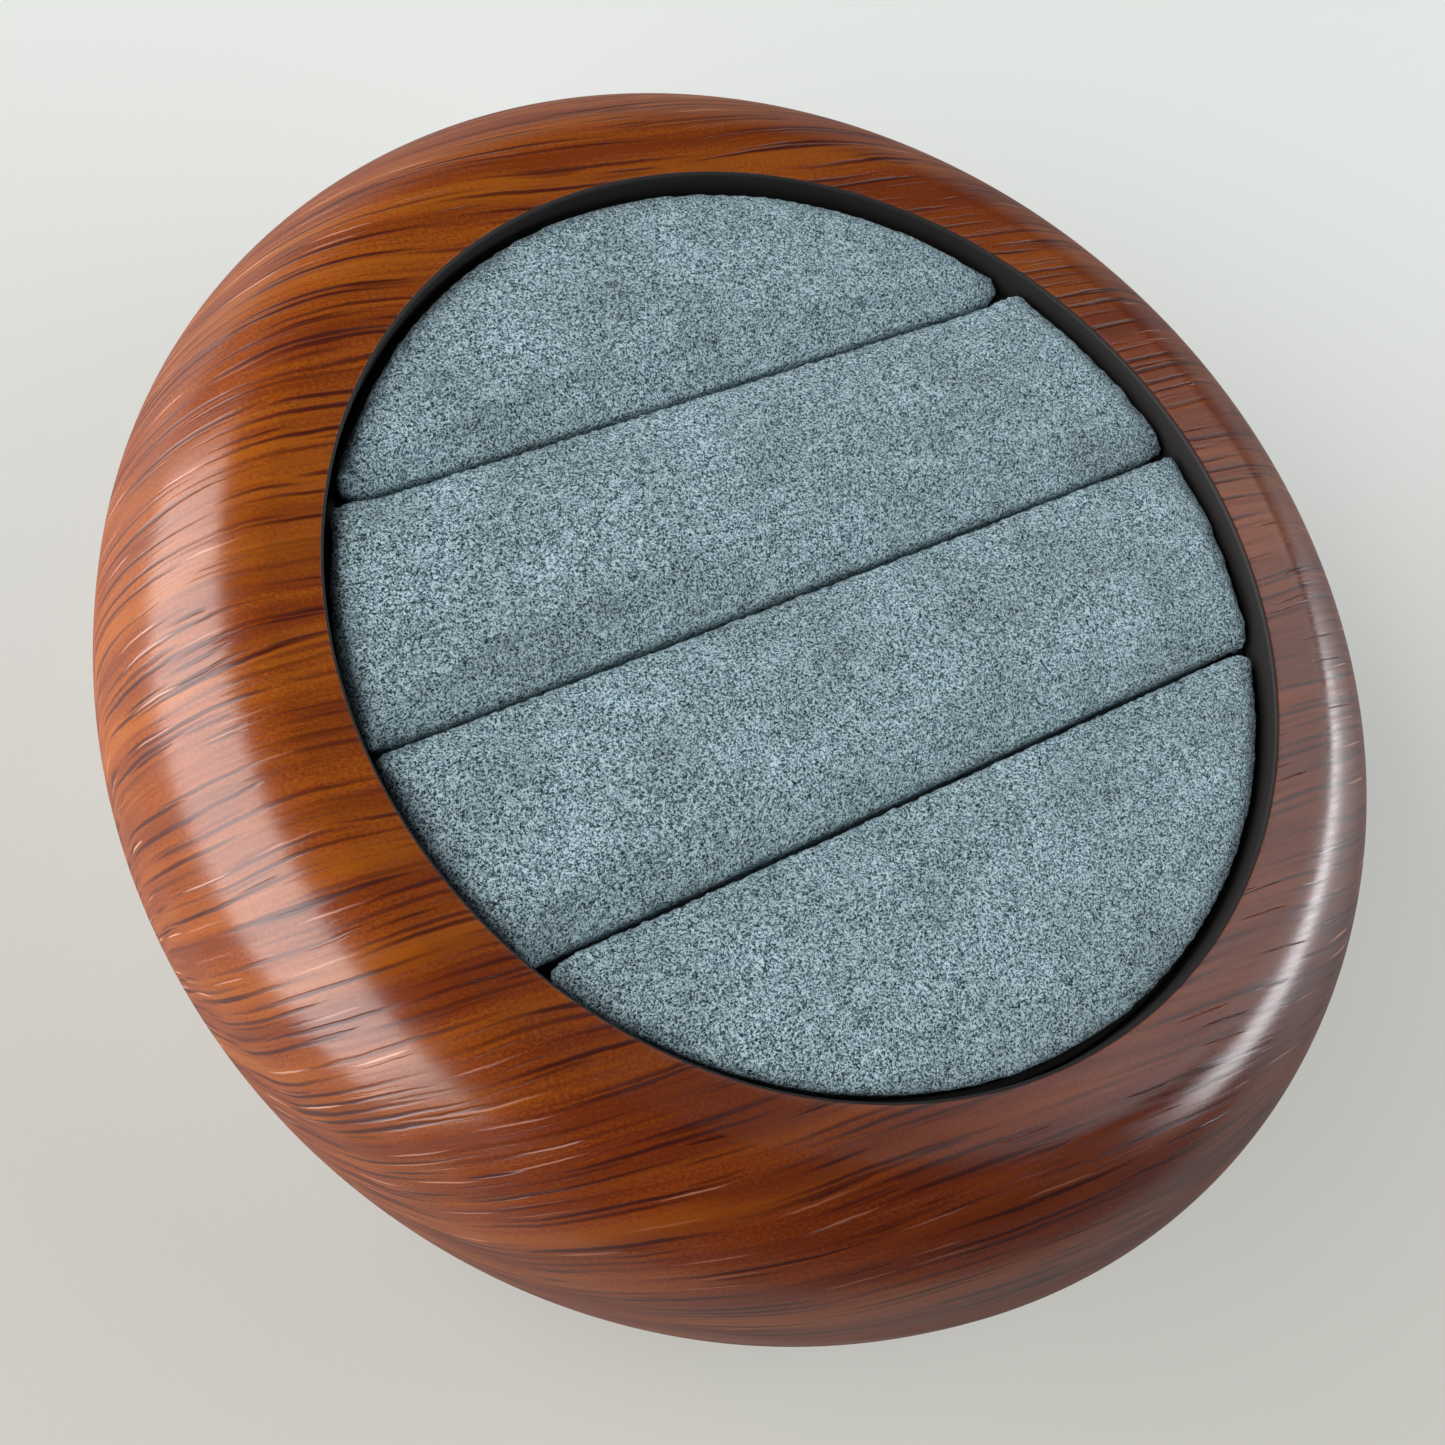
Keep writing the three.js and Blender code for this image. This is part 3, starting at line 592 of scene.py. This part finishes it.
def ringTree():
    # Sets the given piece in a ring round the upright axis, each turned by its own angle.
    tree, given = newTree("ringOfPieces", (
        ("Count", "Int"), ("Radius", "Float"), ("First Angle", "Float"), ("Material", "Material")))
    step = addNode(tree, "ShaderNodeMath", {"operation": "DIVIDE"}, {
        0: 2 * math.pi, 1: given["Count"]})
    angle = addNode(tree, "ShaderNodeMath", {"operation": "MULTIPLY_ADD"}, {
        0: addNode(tree, "GeometryNodeInputIndex"), 1: step, 2: given["First Angle"]})
    arm = addNode(tree, "ShaderNodeCombineXYZ", inputs={"X": given["Radius"]})
    spot = addNode(tree, "ShaderNodeVectorRotate", {"rotation_type": "Z_AXIS"}, {
        "Vector": arm, "Angle": angle})
    points = addNode(tree, "GeometryNodePoints", inputs={"Count": given["Count"], "Position": spot})
    facing = addNode(tree, "ShaderNodeCombineXYZ", inputs={"Z": angle})
    mesh = addNode(tree, "GeometryNodeInstanceOnPoints", inputs={
        "Points": points, "Instance": given["Geometry"], "Rotation": facing})
    mesh = addNode(tree, "GeometryNodeRealizeInstances", inputs={"Geometry": mesh})
    mesh = addNode(tree, "GeometryNodeSetMaterial", inputs={
        "Geometry": mesh, "Material": given["Material"]})
    addNode(tree, "NodeGroupOutput", inputs={"Geometry": mesh})
    return tree


# Fastening: four pan-head screws from below, through towers of the lower shell into bosses
# under the cup
screws = {
    "count": 4, "circle": 26.0 * mm, "firstAngle": math.radians(45),
    "headRadius": 2.5 * mm, "headLow": 2.5 * mm, "headHigh": 4.0 * mm, "headRound": 0.6 * mm,
    "shankRadius": 1.2 * mm, "threadDepth": 0.2 * mm, "pitch": 0.9 * mm, "tip": 13.0 * mm,
    "plainShank": 0.4 * mm, "threadEnd": 1.6 * mm, "point": 1.4 * mm,
    "socketRadius": 0.85 * mm, "socketDepth": 0.9 * mm,
    "wellRadius": 2.7 * mm, "holeRadius": 1.4 * mm, "towerRadius": 4.2 * mm, "towerTop": 5.3 * mm,
    "bossRadius": 2.9 * mm, "boreRadius": 1.3 * mm, "past": 0.5 * mm,
}
ring = ringTree()


def ringOf(piece, material):
    return runTree(piece, ring, {
        "Count": screws["count"], "Radius": screws["circle"],
        "First Angle": screws["firstAngle"], "Material": material})


def combined(piece, tool, operation):
    # adds the tool to the piece, or cuts it out, and drops the tool
    change = piece.modifiers.new("combined", "BOOLEAN")
    change.operation = operation
    change.object = tool
    applied(piece)
    bpy.data.objects.remove(tool)
    return piece


def withRods(piece, material, rods):
    # rings of four rods, joined on or cut out one ring after the other
    for name, radius, low, high, operation in rods:
        section = [(0, low), (radius, low), (radius, high), (0, high)]
        combined(piece, ringOf(turnedBare(name, section, material, 40), material), operation)
    return piece


def screwPieces():
    q = screws
    section = [(0, q["headLow"])] + rounding(
        q["headRadius"], q["headLow"], -q["headRound"], q["headRound"], 5)[::-1]
    section += [(q["headRadius"], q["headHigh"]), (q["shankRadius"], q["headHigh"])]
    height = q["headHigh"] + q["plainShank"]
    root = q["shankRadius"] - q["threadDepth"]
    while height < q["tip"] - q["threadEnd"]:
        section += [(root, height), (q["shankRadius"], height + 0.35 * q["pitch"]),
                    (root, height + 0.7 * q["pitch"])]
        height += q["pitch"]
    section += [(root, q["tip"] - q["point"]), (0, q["tip"])]
    screw = turnedBare("shellScrews", section, steel, 32)
    low, high = q["headLow"] - q["past"], q["headLow"] + q["socketDepth"]
    hexagon = [(0, low), (q["socketRadius"], low), (q["socketRadius"], high), (0, high)]
    combined(screw, turnedBare("driveSocket", hexagon, steel, 6), "DIFFERENCE")
    return ringOf(screw, steel)


topPiece = topShell()
bottomPiece = withRods(bottomShell(), bareShell, (
    ("towers", screws["towerRadius"], lowerFloor - 0.3 * mm, screws["towerTop"], "UNION"),
    ("screwWells", screws["wellRadius"], 0.5 * mm, screws["headHigh"], "DIFFERENCE"),
    ("screwHoles", screws["holeRadius"], screws["headHigh"] - 0.1 * mm,
     screws["towerTop"] + screws["past"], "DIFFERENCE")))
screwSet = screwPieces()
print("shells and screws turned")


# The black styrene cup that lines the recess, and the lift-out insert's greyboard disc
cup = {
    "outer": 39.8 * mm, "inner": 39.1 * mm, "floor": 1.4 * mm, "base": 14.2 * mm, "top": 28.7 * mm,
    "footRound": 1.5 * mm, "edgeRound": 0.2 * mm, "innerRound": 0.8 * mm,
    "rimInner": 39.15 * mm, "rimStart": 28.2 * mm, "rimRound": 0.1 * mm,
    "flange": 42.8 * mm, "flangeBottom": 24.8 * mm, "flangeTop": 26.0 * mm,
}
board = {"radius": box("insert_board")[1].x, "bottom": box("insert_board")[0].z,
         "top": box("insert_board")[1].z, "edge": 0.25 * mm}
foot = {"radius": box("foot_pad")[1].x, "height": box("foot_pad")[1].z, "edge": 0.45 * mm}


def cupPiece():
    c = cup
    well = c["base"] + c["floor"]
    section = [(0, c["base"])]
    section += rounding(c["outer"], c["base"], -c["footRound"], c["footRound"], 10)[::-1]
    section += [(c["outer"], c["flangeBottom"]), (c["flange"], c["flangeBottom"]),
                (c["flange"], c["flangeTop"]), (c["outer"], c["flangeTop"])]
    section += rounding(c["outer"], c["top"], -c["edgeRound"], -c["edgeRound"], 5)
    section += rounding(c["rimInner"], c["top"], c["rimRound"], -c["rimRound"], 4)[::-1]
    section += [(c["inner"], c["rimStart"])]
    section += rounding(c["inner"], well, -c["innerRound"], c["innerRound"], 6)
    section += [(0, well)]
    return withRods(turnedBare("recessCup", section, blackCup, 256), blackCup, (
        ("bosses", screws["bossRadius"], screws["towerTop"], c["base"] + screws["past"], "UNION"),
        ("bossBores", screws["boreRadius"], screws["towerTop"] - screws["past"],
         screws["tip"] + 0.2 * mm, "DIFFERENCE")))


def roundedDisc(name, radius, low, high, edge, material, rings=24):
    across = [(radius - edge) * k / rings for k in range(rings)]
    section = [(r, low) for r in across] + rounding(radius, low, -edge, edge, 6)[::-1]
    section += rounding(radius, high, -edge, -edge, 6) + [(r, high) for r in across[::-1]]
    return turnedBare(name, section, material, 256)


cupMesh = cupPiece()
boardMesh = roundedDisc("greyboardDisc", board["radius"], board["bottom"], board["top"],
                        board["edge"], greyboard)
feltMesh = roundedDisc("feltFoot", foot["radius"], 0.0, foot["height"], foot["edge"], felt)
print("cup, board and foot turned")

# Four foam strips side by side, each wrapped in microsuede and glued down on the board. The
# slits between them are tight, and the suede rolls over at their edges.
strips = {
    "radius": 38.85 * mm, "slits": (-16.75 * mm, 1.85 * mm, 20.65 * mm), "slitGap": 0.4 * mm,
    "bottom": box("suede_cover_1")[0].z, "top": box("suede_cover_1")[1].z,
    "cornerRound": 0.8 * mm, "edgeRoll": 0.45 * mm, "edgeRollDrop": 0.5 * mm, "crown": 0.4 * mm,
    "drawIn": 0.35 * mm, "hemRound": 0.5 * mm,
    "arcSteps": 90, "cornerSteps": 10, "slitSteps": 80, "sideRows": 12, "crownRows": 8,
    "softWidth": 3.3 * mm, "softDrop": 1.05 * mm, "outerWidth": 2.2 * mm, "outerDrop": 0.35 * mm,
    "bulge": 0.9 * mm, "bulgeFrom": 28.9 * mm,
    "voxel": 0.62 * mm, "foamVoxel": 0.9 * mm, "foamShrink": 0.92 * mm,
    "pressure": 4.0, "frames": 20, "simScale": 6.0, "stiffness": 15, "bending": 0.5, "mass": 0.3,
    "gluedTo": 1.5 * mm, "cap": 0.35 * mm, "swellFrom": 3.0 * mm, "slitHalf": 0.11 * mm,
    "unevenHeight": 0.12 * mm, "unevenSize": 9.0 * mm, "fuzz": 0.07 * mm, "fuzzSize": 0.5 * mm,
    "ragged": 0.2 * mm, "raggedSize": 0.35 * mm, "raggedWidth": 0.6 * mm, "raggedDepth": 3 * mm,
    "raggedSeed": 5,
}
# without a seed the noise is shifted by the clock, and no two runs agree
noise.seed_set(strips["raggedSeed"])


def stripOutline(low, high, inset, corner):
    # plan of one strip, drawn in by inset: straight sides, an arc at each end, rounded corners
    q = strips
    radius = q["radius"] - inset
    low, high = low + inset, high - inset
    points = []

    def arc(centre, r, a0, a1, steps):
        for k in range(steps + 1):
            a = a0 + (a1 - a0) * k / steps
            points.append((centre[0] + r * math.cos(a), centre[1] + r * math.sin(a)))

    def straight(start, y):
        for k in range(1, q["slitSteps"]):
            points.append((start - 2 * start * k / q["slitSteps"], y))

    lowEdge, highEdge = low > -radius + 2 * corner, high < radius - 2 * corner
    reachLow = math.sqrt((radius - corner) ** 2 - (low + corner) ** 2) if lowEdge else 0
    reachHigh = math.sqrt((radius - corner) ** 2 - (high - corner) ** 2) if highEdge else 0
    turnLow = math.atan2(low + corner, reachLow) if lowEdge else -math.pi / 2
    turnHigh = math.atan2(high - corner, reachHigh) if highEdge else math.pi / 2
    if lowEdge:
        arc((reachLow, low + corner), corner, -math.pi / 2, turnLow, q["cornerSteps"])
    arc((0, 0), radius, turnLow, turnHigh, q["arcSteps"])
    if highEdge:
        arc((reachHigh, high - corner), corner, turnHigh, math.pi / 2, q["cornerSteps"])
        straight(reachHigh, high)
        arc((-reachHigh, high - corner), corner, math.pi / 2, math.pi - turnHigh, q["cornerSteps"])
    arc((0, 0), radius, math.pi - turnHigh, math.pi - turnLow, q["arcSteps"])
    if lowEdge:
        arc((-reachLow, low + corner), corner, math.pi - turnLow, 1.5 * math.pi, q["cornerSteps"])
        straight(-reachLow, low)
    return points


def softened(x, y, z, low):
    # the suede lies lower along the slit edge that faces -Y and along the round edge, where the
    # foam has been pushed down, and swells out over the rim of the cup
    q = strips
    share = (z - q["bottom"]) / (q["top"] - q["bottom"])
    flat = math.hypot(x, y)
    toSlit = max(0.0, 1 - (y - low) / q["softWidth"]) if low > -q["radius"] else 0.0
    toRound = max(0.0, 1 - (q["radius"] - flat) / q["outerWidth"])
    z -= share * max(q["softDrop"] * toSlit ** 2, q["outerDrop"] * toRound ** 2)
    if flat > q["radius"] - 3 * mm and z > q["bulgeFrom"]:
        rise = min(1.0, (z - q["bulgeFrom"]) / (0.5 * mm))
        smooth = rise * rise * (3 - 2 * rise)
        out = 1 + q["bulge"] * smooth * min(1.0, 1.6 * toRound) / flat
        x, y = x * out, y * out
    return x, y, z


def stripBody(name, low, high, voxel, shrink=0.0):
    q = strips
    bottom, top = q["bottom"] + shrink, q["top"] - shrink
    sideTop = top - q["crown"] - q["edgeRollDrop"]
    # levels of the side, from the hem to the crown: how far drawn in, and how high
    levels = rounding(0, bottom, q["hemRound"], q["hemRound"], 5)[::-1]
    for k in range(1, q["sideRows"]):
        height = bottom + q["hemRound"] + (sideTop - bottom - q["hemRound"]) * k / q["sideRows"]
        levels.append((q["drawIn"] * math.sin(math.pi * k / q["sideRows"]), height))
    levels += rounding(0, top - q["crown"], q["edgeRoll"], -q["edgeRollDrop"], 10)
    deepest = (min(high, q["radius"]) - max(low, -q["radius"])) / 2 - shrink - 1.2 * mm
    for k in range(1, q["crownRows"] + 1):
        inset = q["edgeRoll"] + (deepest - q["edgeRoll"]) * k / q["crownRows"]
        fallen = 1 - math.sin(math.pi / 2 * k / q["crownRows"])
        levels.append((inset, top - q["crown"] * fallen))
    vertices, faces = [], []
    for inset, height in levels:
        corner = max(0.15 * mm, q["cornerRound"] - 0.2 * inset)
        vertices += [softened(x, y, height, low)
                     for x, y in stripOutline(low, high, inset + shrink, corner)]
    count = len(vertices) // len(levels)
    for row in range(len(levels) - 1):
        for k in range(count):
            a, b = row * count + k, row * count + (k + 1) % count
            faces.append((a, b, b + count, a + count))
    faces.append(tuple(range(count))[::-1])
    faces.append(tuple(range(len(vertices) - count, len(vertices))))
    piece = newObject(name, vertices, faces)
    remesh = piece.modifiers.new("evenCloth", "REMESH")
    remesh.mode = "VOXEL"
    remesh.voxel_size = voxel
    remesh.use_smooth_shade = True
    return applied(piece)


def stripEdges():
    half = strips["slitGap"] / 2
    edges = [-1.0] + list(strips["slits"]) + [1.0]
    return [(a + half, b - half) for a, b in zip(edges, edges[1:])]


def clothModifier(piece):
    # Blender's cloth is steadier on something the size of a seat, so the piece is scaled up
    q = strips
    piece.data.transform(Matrix.Scale(q["simScale"], 4))
    held = piece.vertex_groups.new(name="glued")
    glued = (q["bottom"] + q["gluedTo"]) * q["simScale"]
    held.add([v.index for v in piece.data.vertices if v.co.z < glued], 1.0, "REPLACE")
    cloth = piece.modifiers.new("swell", "CLOTH")
    cloth.point_cache.frame_end = q["frames"]
    cloth.settings.effector_weights.gravity = 0
    for name, value in (
            ("quality", 5), ("mass", q["mass"]), ("bending_stiffness", q["bending"]),
            ("tension_stiffness", q["stiffness"]), ("compression_stiffness", q["stiffness"]),
            ("use_pressure", True), ("uniform_pressure_force", q["pressure"]),
            ("vertex_group_mass", "glued")):
        setattr(cloth.settings, name, value)


def settled(piece, before, low, high):
    # keeps each point of the swollen suede within the cap, inside its half of the slit, the round
    # of the insert and the height of the cover
    q = strips
    lowY = low - q["slitGap"] / 2 + q["slitHalf"]
    highY = high + q["slitGap"] / 2 - q["slitHalf"]
    for vertex, old in zip(piece.data.vertices, before):
        move = vertex.co / q["simScale"] - old
        toSlit = max(0.0, min(old.y - low, high - old.y))
        move *= min(1.0, toSlit / q["swellFrom"], q["cap"] / max(move.length, 0.01 * mm))
        new = old + move
        new.y = min(max(new.y, lowY), highY)
        flat = math.hypot(new.x, new.y)
        reach = q["radius"] + (q["bulge"] if new.z > q["bulgeFrom"] else 0.1 * mm)
        if flat > reach:
            new.x, new.y = new.x * reach / flat, new.y * reach / flat
        new.z = min(max(new.z, q["bottom"]), q["top"] + 0.2 * mm)
        vertex.co = new
    piece.data.update()


def displaced(piece, name, size, height):
    clouds = bpy.data.textures.new(name, "CLOUDS")
    clouds.noise_scale = size
    bumps = piece.modifiers.new(name, "DISPLACE")
    bumps.texture = clouds
    bumps.texture_coords = "LOCAL"
    bumps.strength = height
    bumps.mid_level = 0.5


def ragged(piece, low, high):
    # loose fibres along the top of the slits push each point a little in or out
    q = strips
    for vertex in piece.data.vertices:
        co = vertex.co
        toEdge = min(co.y - low, high - co.y)
        if co.z > q["top"] - q["raggedDepth"] and toEdge < q["raggedWidth"]:
            away = noise.noise_vector(co / q["raggedSize"]) * q["ragged"]
            vertex.co = co + Vector((away.x, away.y, min(away.z, 0.0)))
    piece.data.update()


suedePieces = []
for number, (low, high) in enumerate(stripEdges(), 1):
    suedePieces.append(stripBody("suedeStrip%d" % number, low, high, strips["voxel"]))
rest = [[v.co.copy() for v in piece.data.vertices] for piece in suedePieces]
for piece in suedePieces:
    clothModifier(piece)
for frameNumber in range(1, strips["frames"] + 1):
    scene.frame_set(frameNumber)
for piece, before, (low, high) in zip(suedePieces, rest, stripEdges()):
    applied(piece)
    piece.vertex_groups.clear()
    settled(piece, before, low, high)
scene.frame_set(1)
print("suede swollen")
for piece, (low, high) in zip(suedePieces, stripEdges()):
    displaced(piece, "uneven", strips["unevenSize"], strips["unevenHeight"])
    finer = piece.modifiers.new("finer", "SUBSURF")
    finer.levels = finer.render_levels = 1
    displaced(piece, "fuzzy", strips["fuzzSize"], strips["fuzz"])
    applied(piece)
    ragged(piece, low, high)
    piece.data.materials.clear()
    piece.data.materials.append(suede)
    piece.data.shade_smooth()
print("suede strips made")

foamPieces = []
for number, (low, high) in enumerate(stripEdges(), 1):
    piece = stripBody("foamCore%d" % number, low, high, strips["foamVoxel"], strips["foamShrink"])
    piece.data.materials.append(foamBody)
    foamPieces.append(piece)
print("foam cores made")


def ridesOn(piece, body, slotName, *nodes):
    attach(piece, body)
    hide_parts(*nodes)


ridesOn(topPiece, "box_body", "wood_film", "upper_shell")
ridesOn(bottomPiece, "box_body", "wood_film", "lower_shell")
ridesOn(cupMesh, "box_body", "black_plastic", "recess_cup")
ridesOn(feltMesh, "box_body", "felt", "foot_pad")
ridesOn(boardMesh, "insert", "grey_board", "insert_board")
for number, piece in enumerate(suedePieces, 1):
    ridesOn(piece, "insert", "suede", "suede_cover_%d" % number)
for number, piece in enumerate(foamPieces, 1):
    ridesOn(piece, "insert", "foam", "foam_strip_%d" % number)
ridesOn(screwSet, "box_body", "screw_steel", *("shell_screw_%d" % n for n in range(1, 5)))

# Floor: a plain pale table top. Seen by the camera or in a gloss, half of it is a painted glow of
# its own plain colour, so that the shadow stays soft. Its colour carries painted shade too: a
# little darker towards the nearer side, and dimmer far out.
floorLook = {
    "light": "#E3E8E5", "dark": "#CBCBC4", "own": 0.5, "towards": 70.6, "reach": 90.0 * mm,
    "paleTo": 200.0 * mm, "dimFrom": 600.0 * mm, "dim": 0.45, "roughness": 0.75, "size": 8.0,
    "grainSize": 0.8 * mm, "grainDepth": 0.05 * mm,
}


def paleTable():
    material, tree, shader, place = newMaterial("paleTable")
    look = floorLook
    fine = addNode(tree, "ShaderNodeTexNoise", inputs={
        "Vector": place, "Scale": 1 / look["grainSize"], "Detail": 3.0})
    bump = addNode(tree, "ShaderNodeBump", inputs={
        "Strength": 0.3, "Distance": look["grainDepth"], "Height": fine})
    # painted shade: the colour runs from light to dark towards the nearer side
    turn = math.radians(look["towards"])
    along = addNode(tree, "ShaderNodeVectorMath", {"operation": "DOT_PRODUCT"}, {
        0: place, 1: (math.cos(turn), math.sin(turn), 0)})
    share = addNode(tree, "ShaderNodeMapRange", {"interpolation_type": "SMOOTHSTEP"}, {
        "Value": along.outputs["Value"], "From Min": -look["reach"], "From Max": look["reach"]})
    tone = addNode(tree, "ShaderNodeMix", {"data_type": "RGBA"}, {
        "Factor": share, 6: linear(look["dark"]), 7: linear(look["light"])})
    # painted shade: the colour dims far out from the box
    far = addNode(tree, "ShaderNodeVectorMath", {"operation": "LENGTH"}, {0: place})
    paintedFarShade = addNode(tree, "ShaderNodeMapRange", {"interpolation_type": "SMOOTHSTEP"}, {
        "Value": far.outputs["Value"], "From Min": look["paleTo"], "From Max": look["dimFrom"],
        "To Min": 1.0, "To Max": look["dim"]})
    colour = addNode(tree, "ShaderNodeVectorMath", {"operation": "SCALE"}, {
        0: tone.outputs[2], "Scale": paintedFarShade})
    setInputs(tree, shader, {
        "Normal": bump, "Base Color": colour, "Roughness": look["roughness"]})
    # painted glow: for camera and gloss rays half the floor is an emission of its own colour, which
    # lifts its shade
    ray = addNode(tree, "ShaderNodeLightPath").outputs
    seen = ray["Is Camera Ray"]
    for kind in ("Is Glossy Ray", "Is Transmission Ray"):
        seen = addNode(tree, "ShaderNodeMath", {"operation": "MAXIMUM"}, {0: seen, 1: ray[kind]})
    part = addNode(tree, "ShaderNodeMath", {"operation": "MULTIPLY"}, {0: seen, 1: look["own"]})
    paintedGlow = addNode(tree, "ShaderNodeEmission", inputs={"Color": colour})
    mix = addNode(tree, "ShaderNodeMixShader", inputs={0: part, 1: shader, 2: paintedGlow})
    output = next(node for node in tree.nodes if node.type == "OUTPUT_MATERIAL")
    setInputs(tree, output, {"Surface": mix})
    return material


half = floorLook["size"] / 2
floor = newObject("floor", [(-half, -half, 0), (half, -half, 0), (half, half, 0), (-half, half, 0)],
                  [(0, 1, 2, 3)])
floor.data.materials.append(paleTable())

# Light: a broad low window to the left, a smaller bright one to the right, a pale wall behind it
lamps = {
    "mainWindow": {"azimuth": 160.0, "elevation": 22.5, "away": 1.2, "width": 2.2, "height": 1.04,
                   "watts": 41.6, "colour": "#FFFAF9", "tilt": 0.0},
    "sideWindow": {"azimuth": -24.0, "elevation": 19.0, "away": 0.8, "width": 0.64, "height": 0.18,
                   "watts": 3.4, "colour": "#FDFCFF", "tilt": -14.0},
    "paleWall": {"azimuth": -8.0, "elevation": 44.0, "away": 1.0, "width": 0.66, "height": 0.57,
                 "watts": 1.9, "colour": "#FFFBFA", "tilt": 0.0},
}
for name, lamp in lamps.items():
    light = bpy.data.lights.new(name, "AREA")
    light.shape = "RECTANGLE"
    light.size, light.size_y = lamp["width"], lamp["height"]
    light.energy = lamp["watts"]
    light.color = linear(lamp["colour"])[:3]
    holder = bpy.data.objects.new(name, light)
    turn, rise = math.radians(lamp["azimuth"]), math.radians(lamp["elevation"])
    direction = Vector((
        math.cos(rise) * math.cos(turn), math.cos(rise) * math.sin(turn), math.sin(rise)))
    holder.location = Vector((0, 0, 0.03)) + direction * lamp["away"]
    tilt = Matrix.Rotation(math.radians(lamp["tilt"]), 3, "Z")
    holder.rotation_euler = (direction.to_track_quat("Z", "Y").to_matrix() @ tilt).to_euler()
    scene.collection.objects.link(holder)

# The room: dim overhead, paler along the horizon
roomLook = {"colour": "#F6F8FF", "overhead": 0.06, "horizon": 0.2, "paleTo": 10.0, "dimFrom": 24.0}
scene.world = bpy.data.worlds.new("dimRoom")
scene.world.use_nodes = True
room = scene.world.node_tree
room.nodes.clear()
ray = addNode(room, "ShaderNodeTexCoord").outputs["Generated"]
tone = addNode(room, "ShaderNodeMapRange", {"interpolation_type": "SMOOTHSTEP"}, {
    "Value": addNode(room, "ShaderNodeSeparateXYZ", inputs={0: ray}).outputs[2],
    "From Min": math.sin(math.radians(roomLook["paleTo"])),
    "From Max": math.sin(math.radians(roomLook["dimFrom"])),
    "To Min": roomLook["horizon"], "To Max": roomLook["overhead"]})
glow = addNode(room, "ShaderNodeBackground", inputs={
    "Color": linear(roomLook["colour"]), "Strength": tone})
addNode(room, "ShaderNodeOutputWorld", inputs={"Surface": glow})

# Camera: from the fit to the recess edge, the slits and the outline. It is held turned about
# its own line of sight.
eye = {"lens": 49.25, "azimuth": -66.37, "elevation": 59.56, "roll": 40.93, "away": 155.6 * mm,
       "right": -0.25 * mm, "up": -13.39 * mm, "aimHeight": 32 * mm, "clipStart": 5 * mm}
turn, rise, roll = (math.radians(eye[k]) for k in ("azimuth", "elevation", "roll"))
right = Vector((math.cos(turn), math.sin(turn), 0))
ahead = Vector((-math.sin(turn), math.cos(turn), 0))
back = -math.cos(rise) * ahead + Vector((0, 0, math.sin(rise)))
upward = math.sin(rise) * ahead + Vector((0, 0, math.cos(rise)))
place = back * eye["away"] + right * eye["right"] + upward * eye["up"]
place += Vector((0, 0, eye["aimHeight"]))
cameraRight = math.cos(roll) * right + math.sin(roll) * upward
cameraUp = -math.sin(roll) * right + math.cos(roll) * upward
camera = bpy.data.objects.new("camera", bpy.data.cameras.new("camera"))
camera.data.lens = eye["lens"]
camera.data.sensor_width = 36
camera.data.clip_start = eye["clipStart"]
camera.matrix_world = Matrix((
    (cameraRight.x, cameraUp.x, back.x, place.x), (cameraRight.y, cameraUp.y, back.y, place.y),
    (cameraRight.z, cameraUp.z, back.z, place.z), (0, 0, 0, 1)))
scene.collection.objects.link(camera)
scene.camera = camera
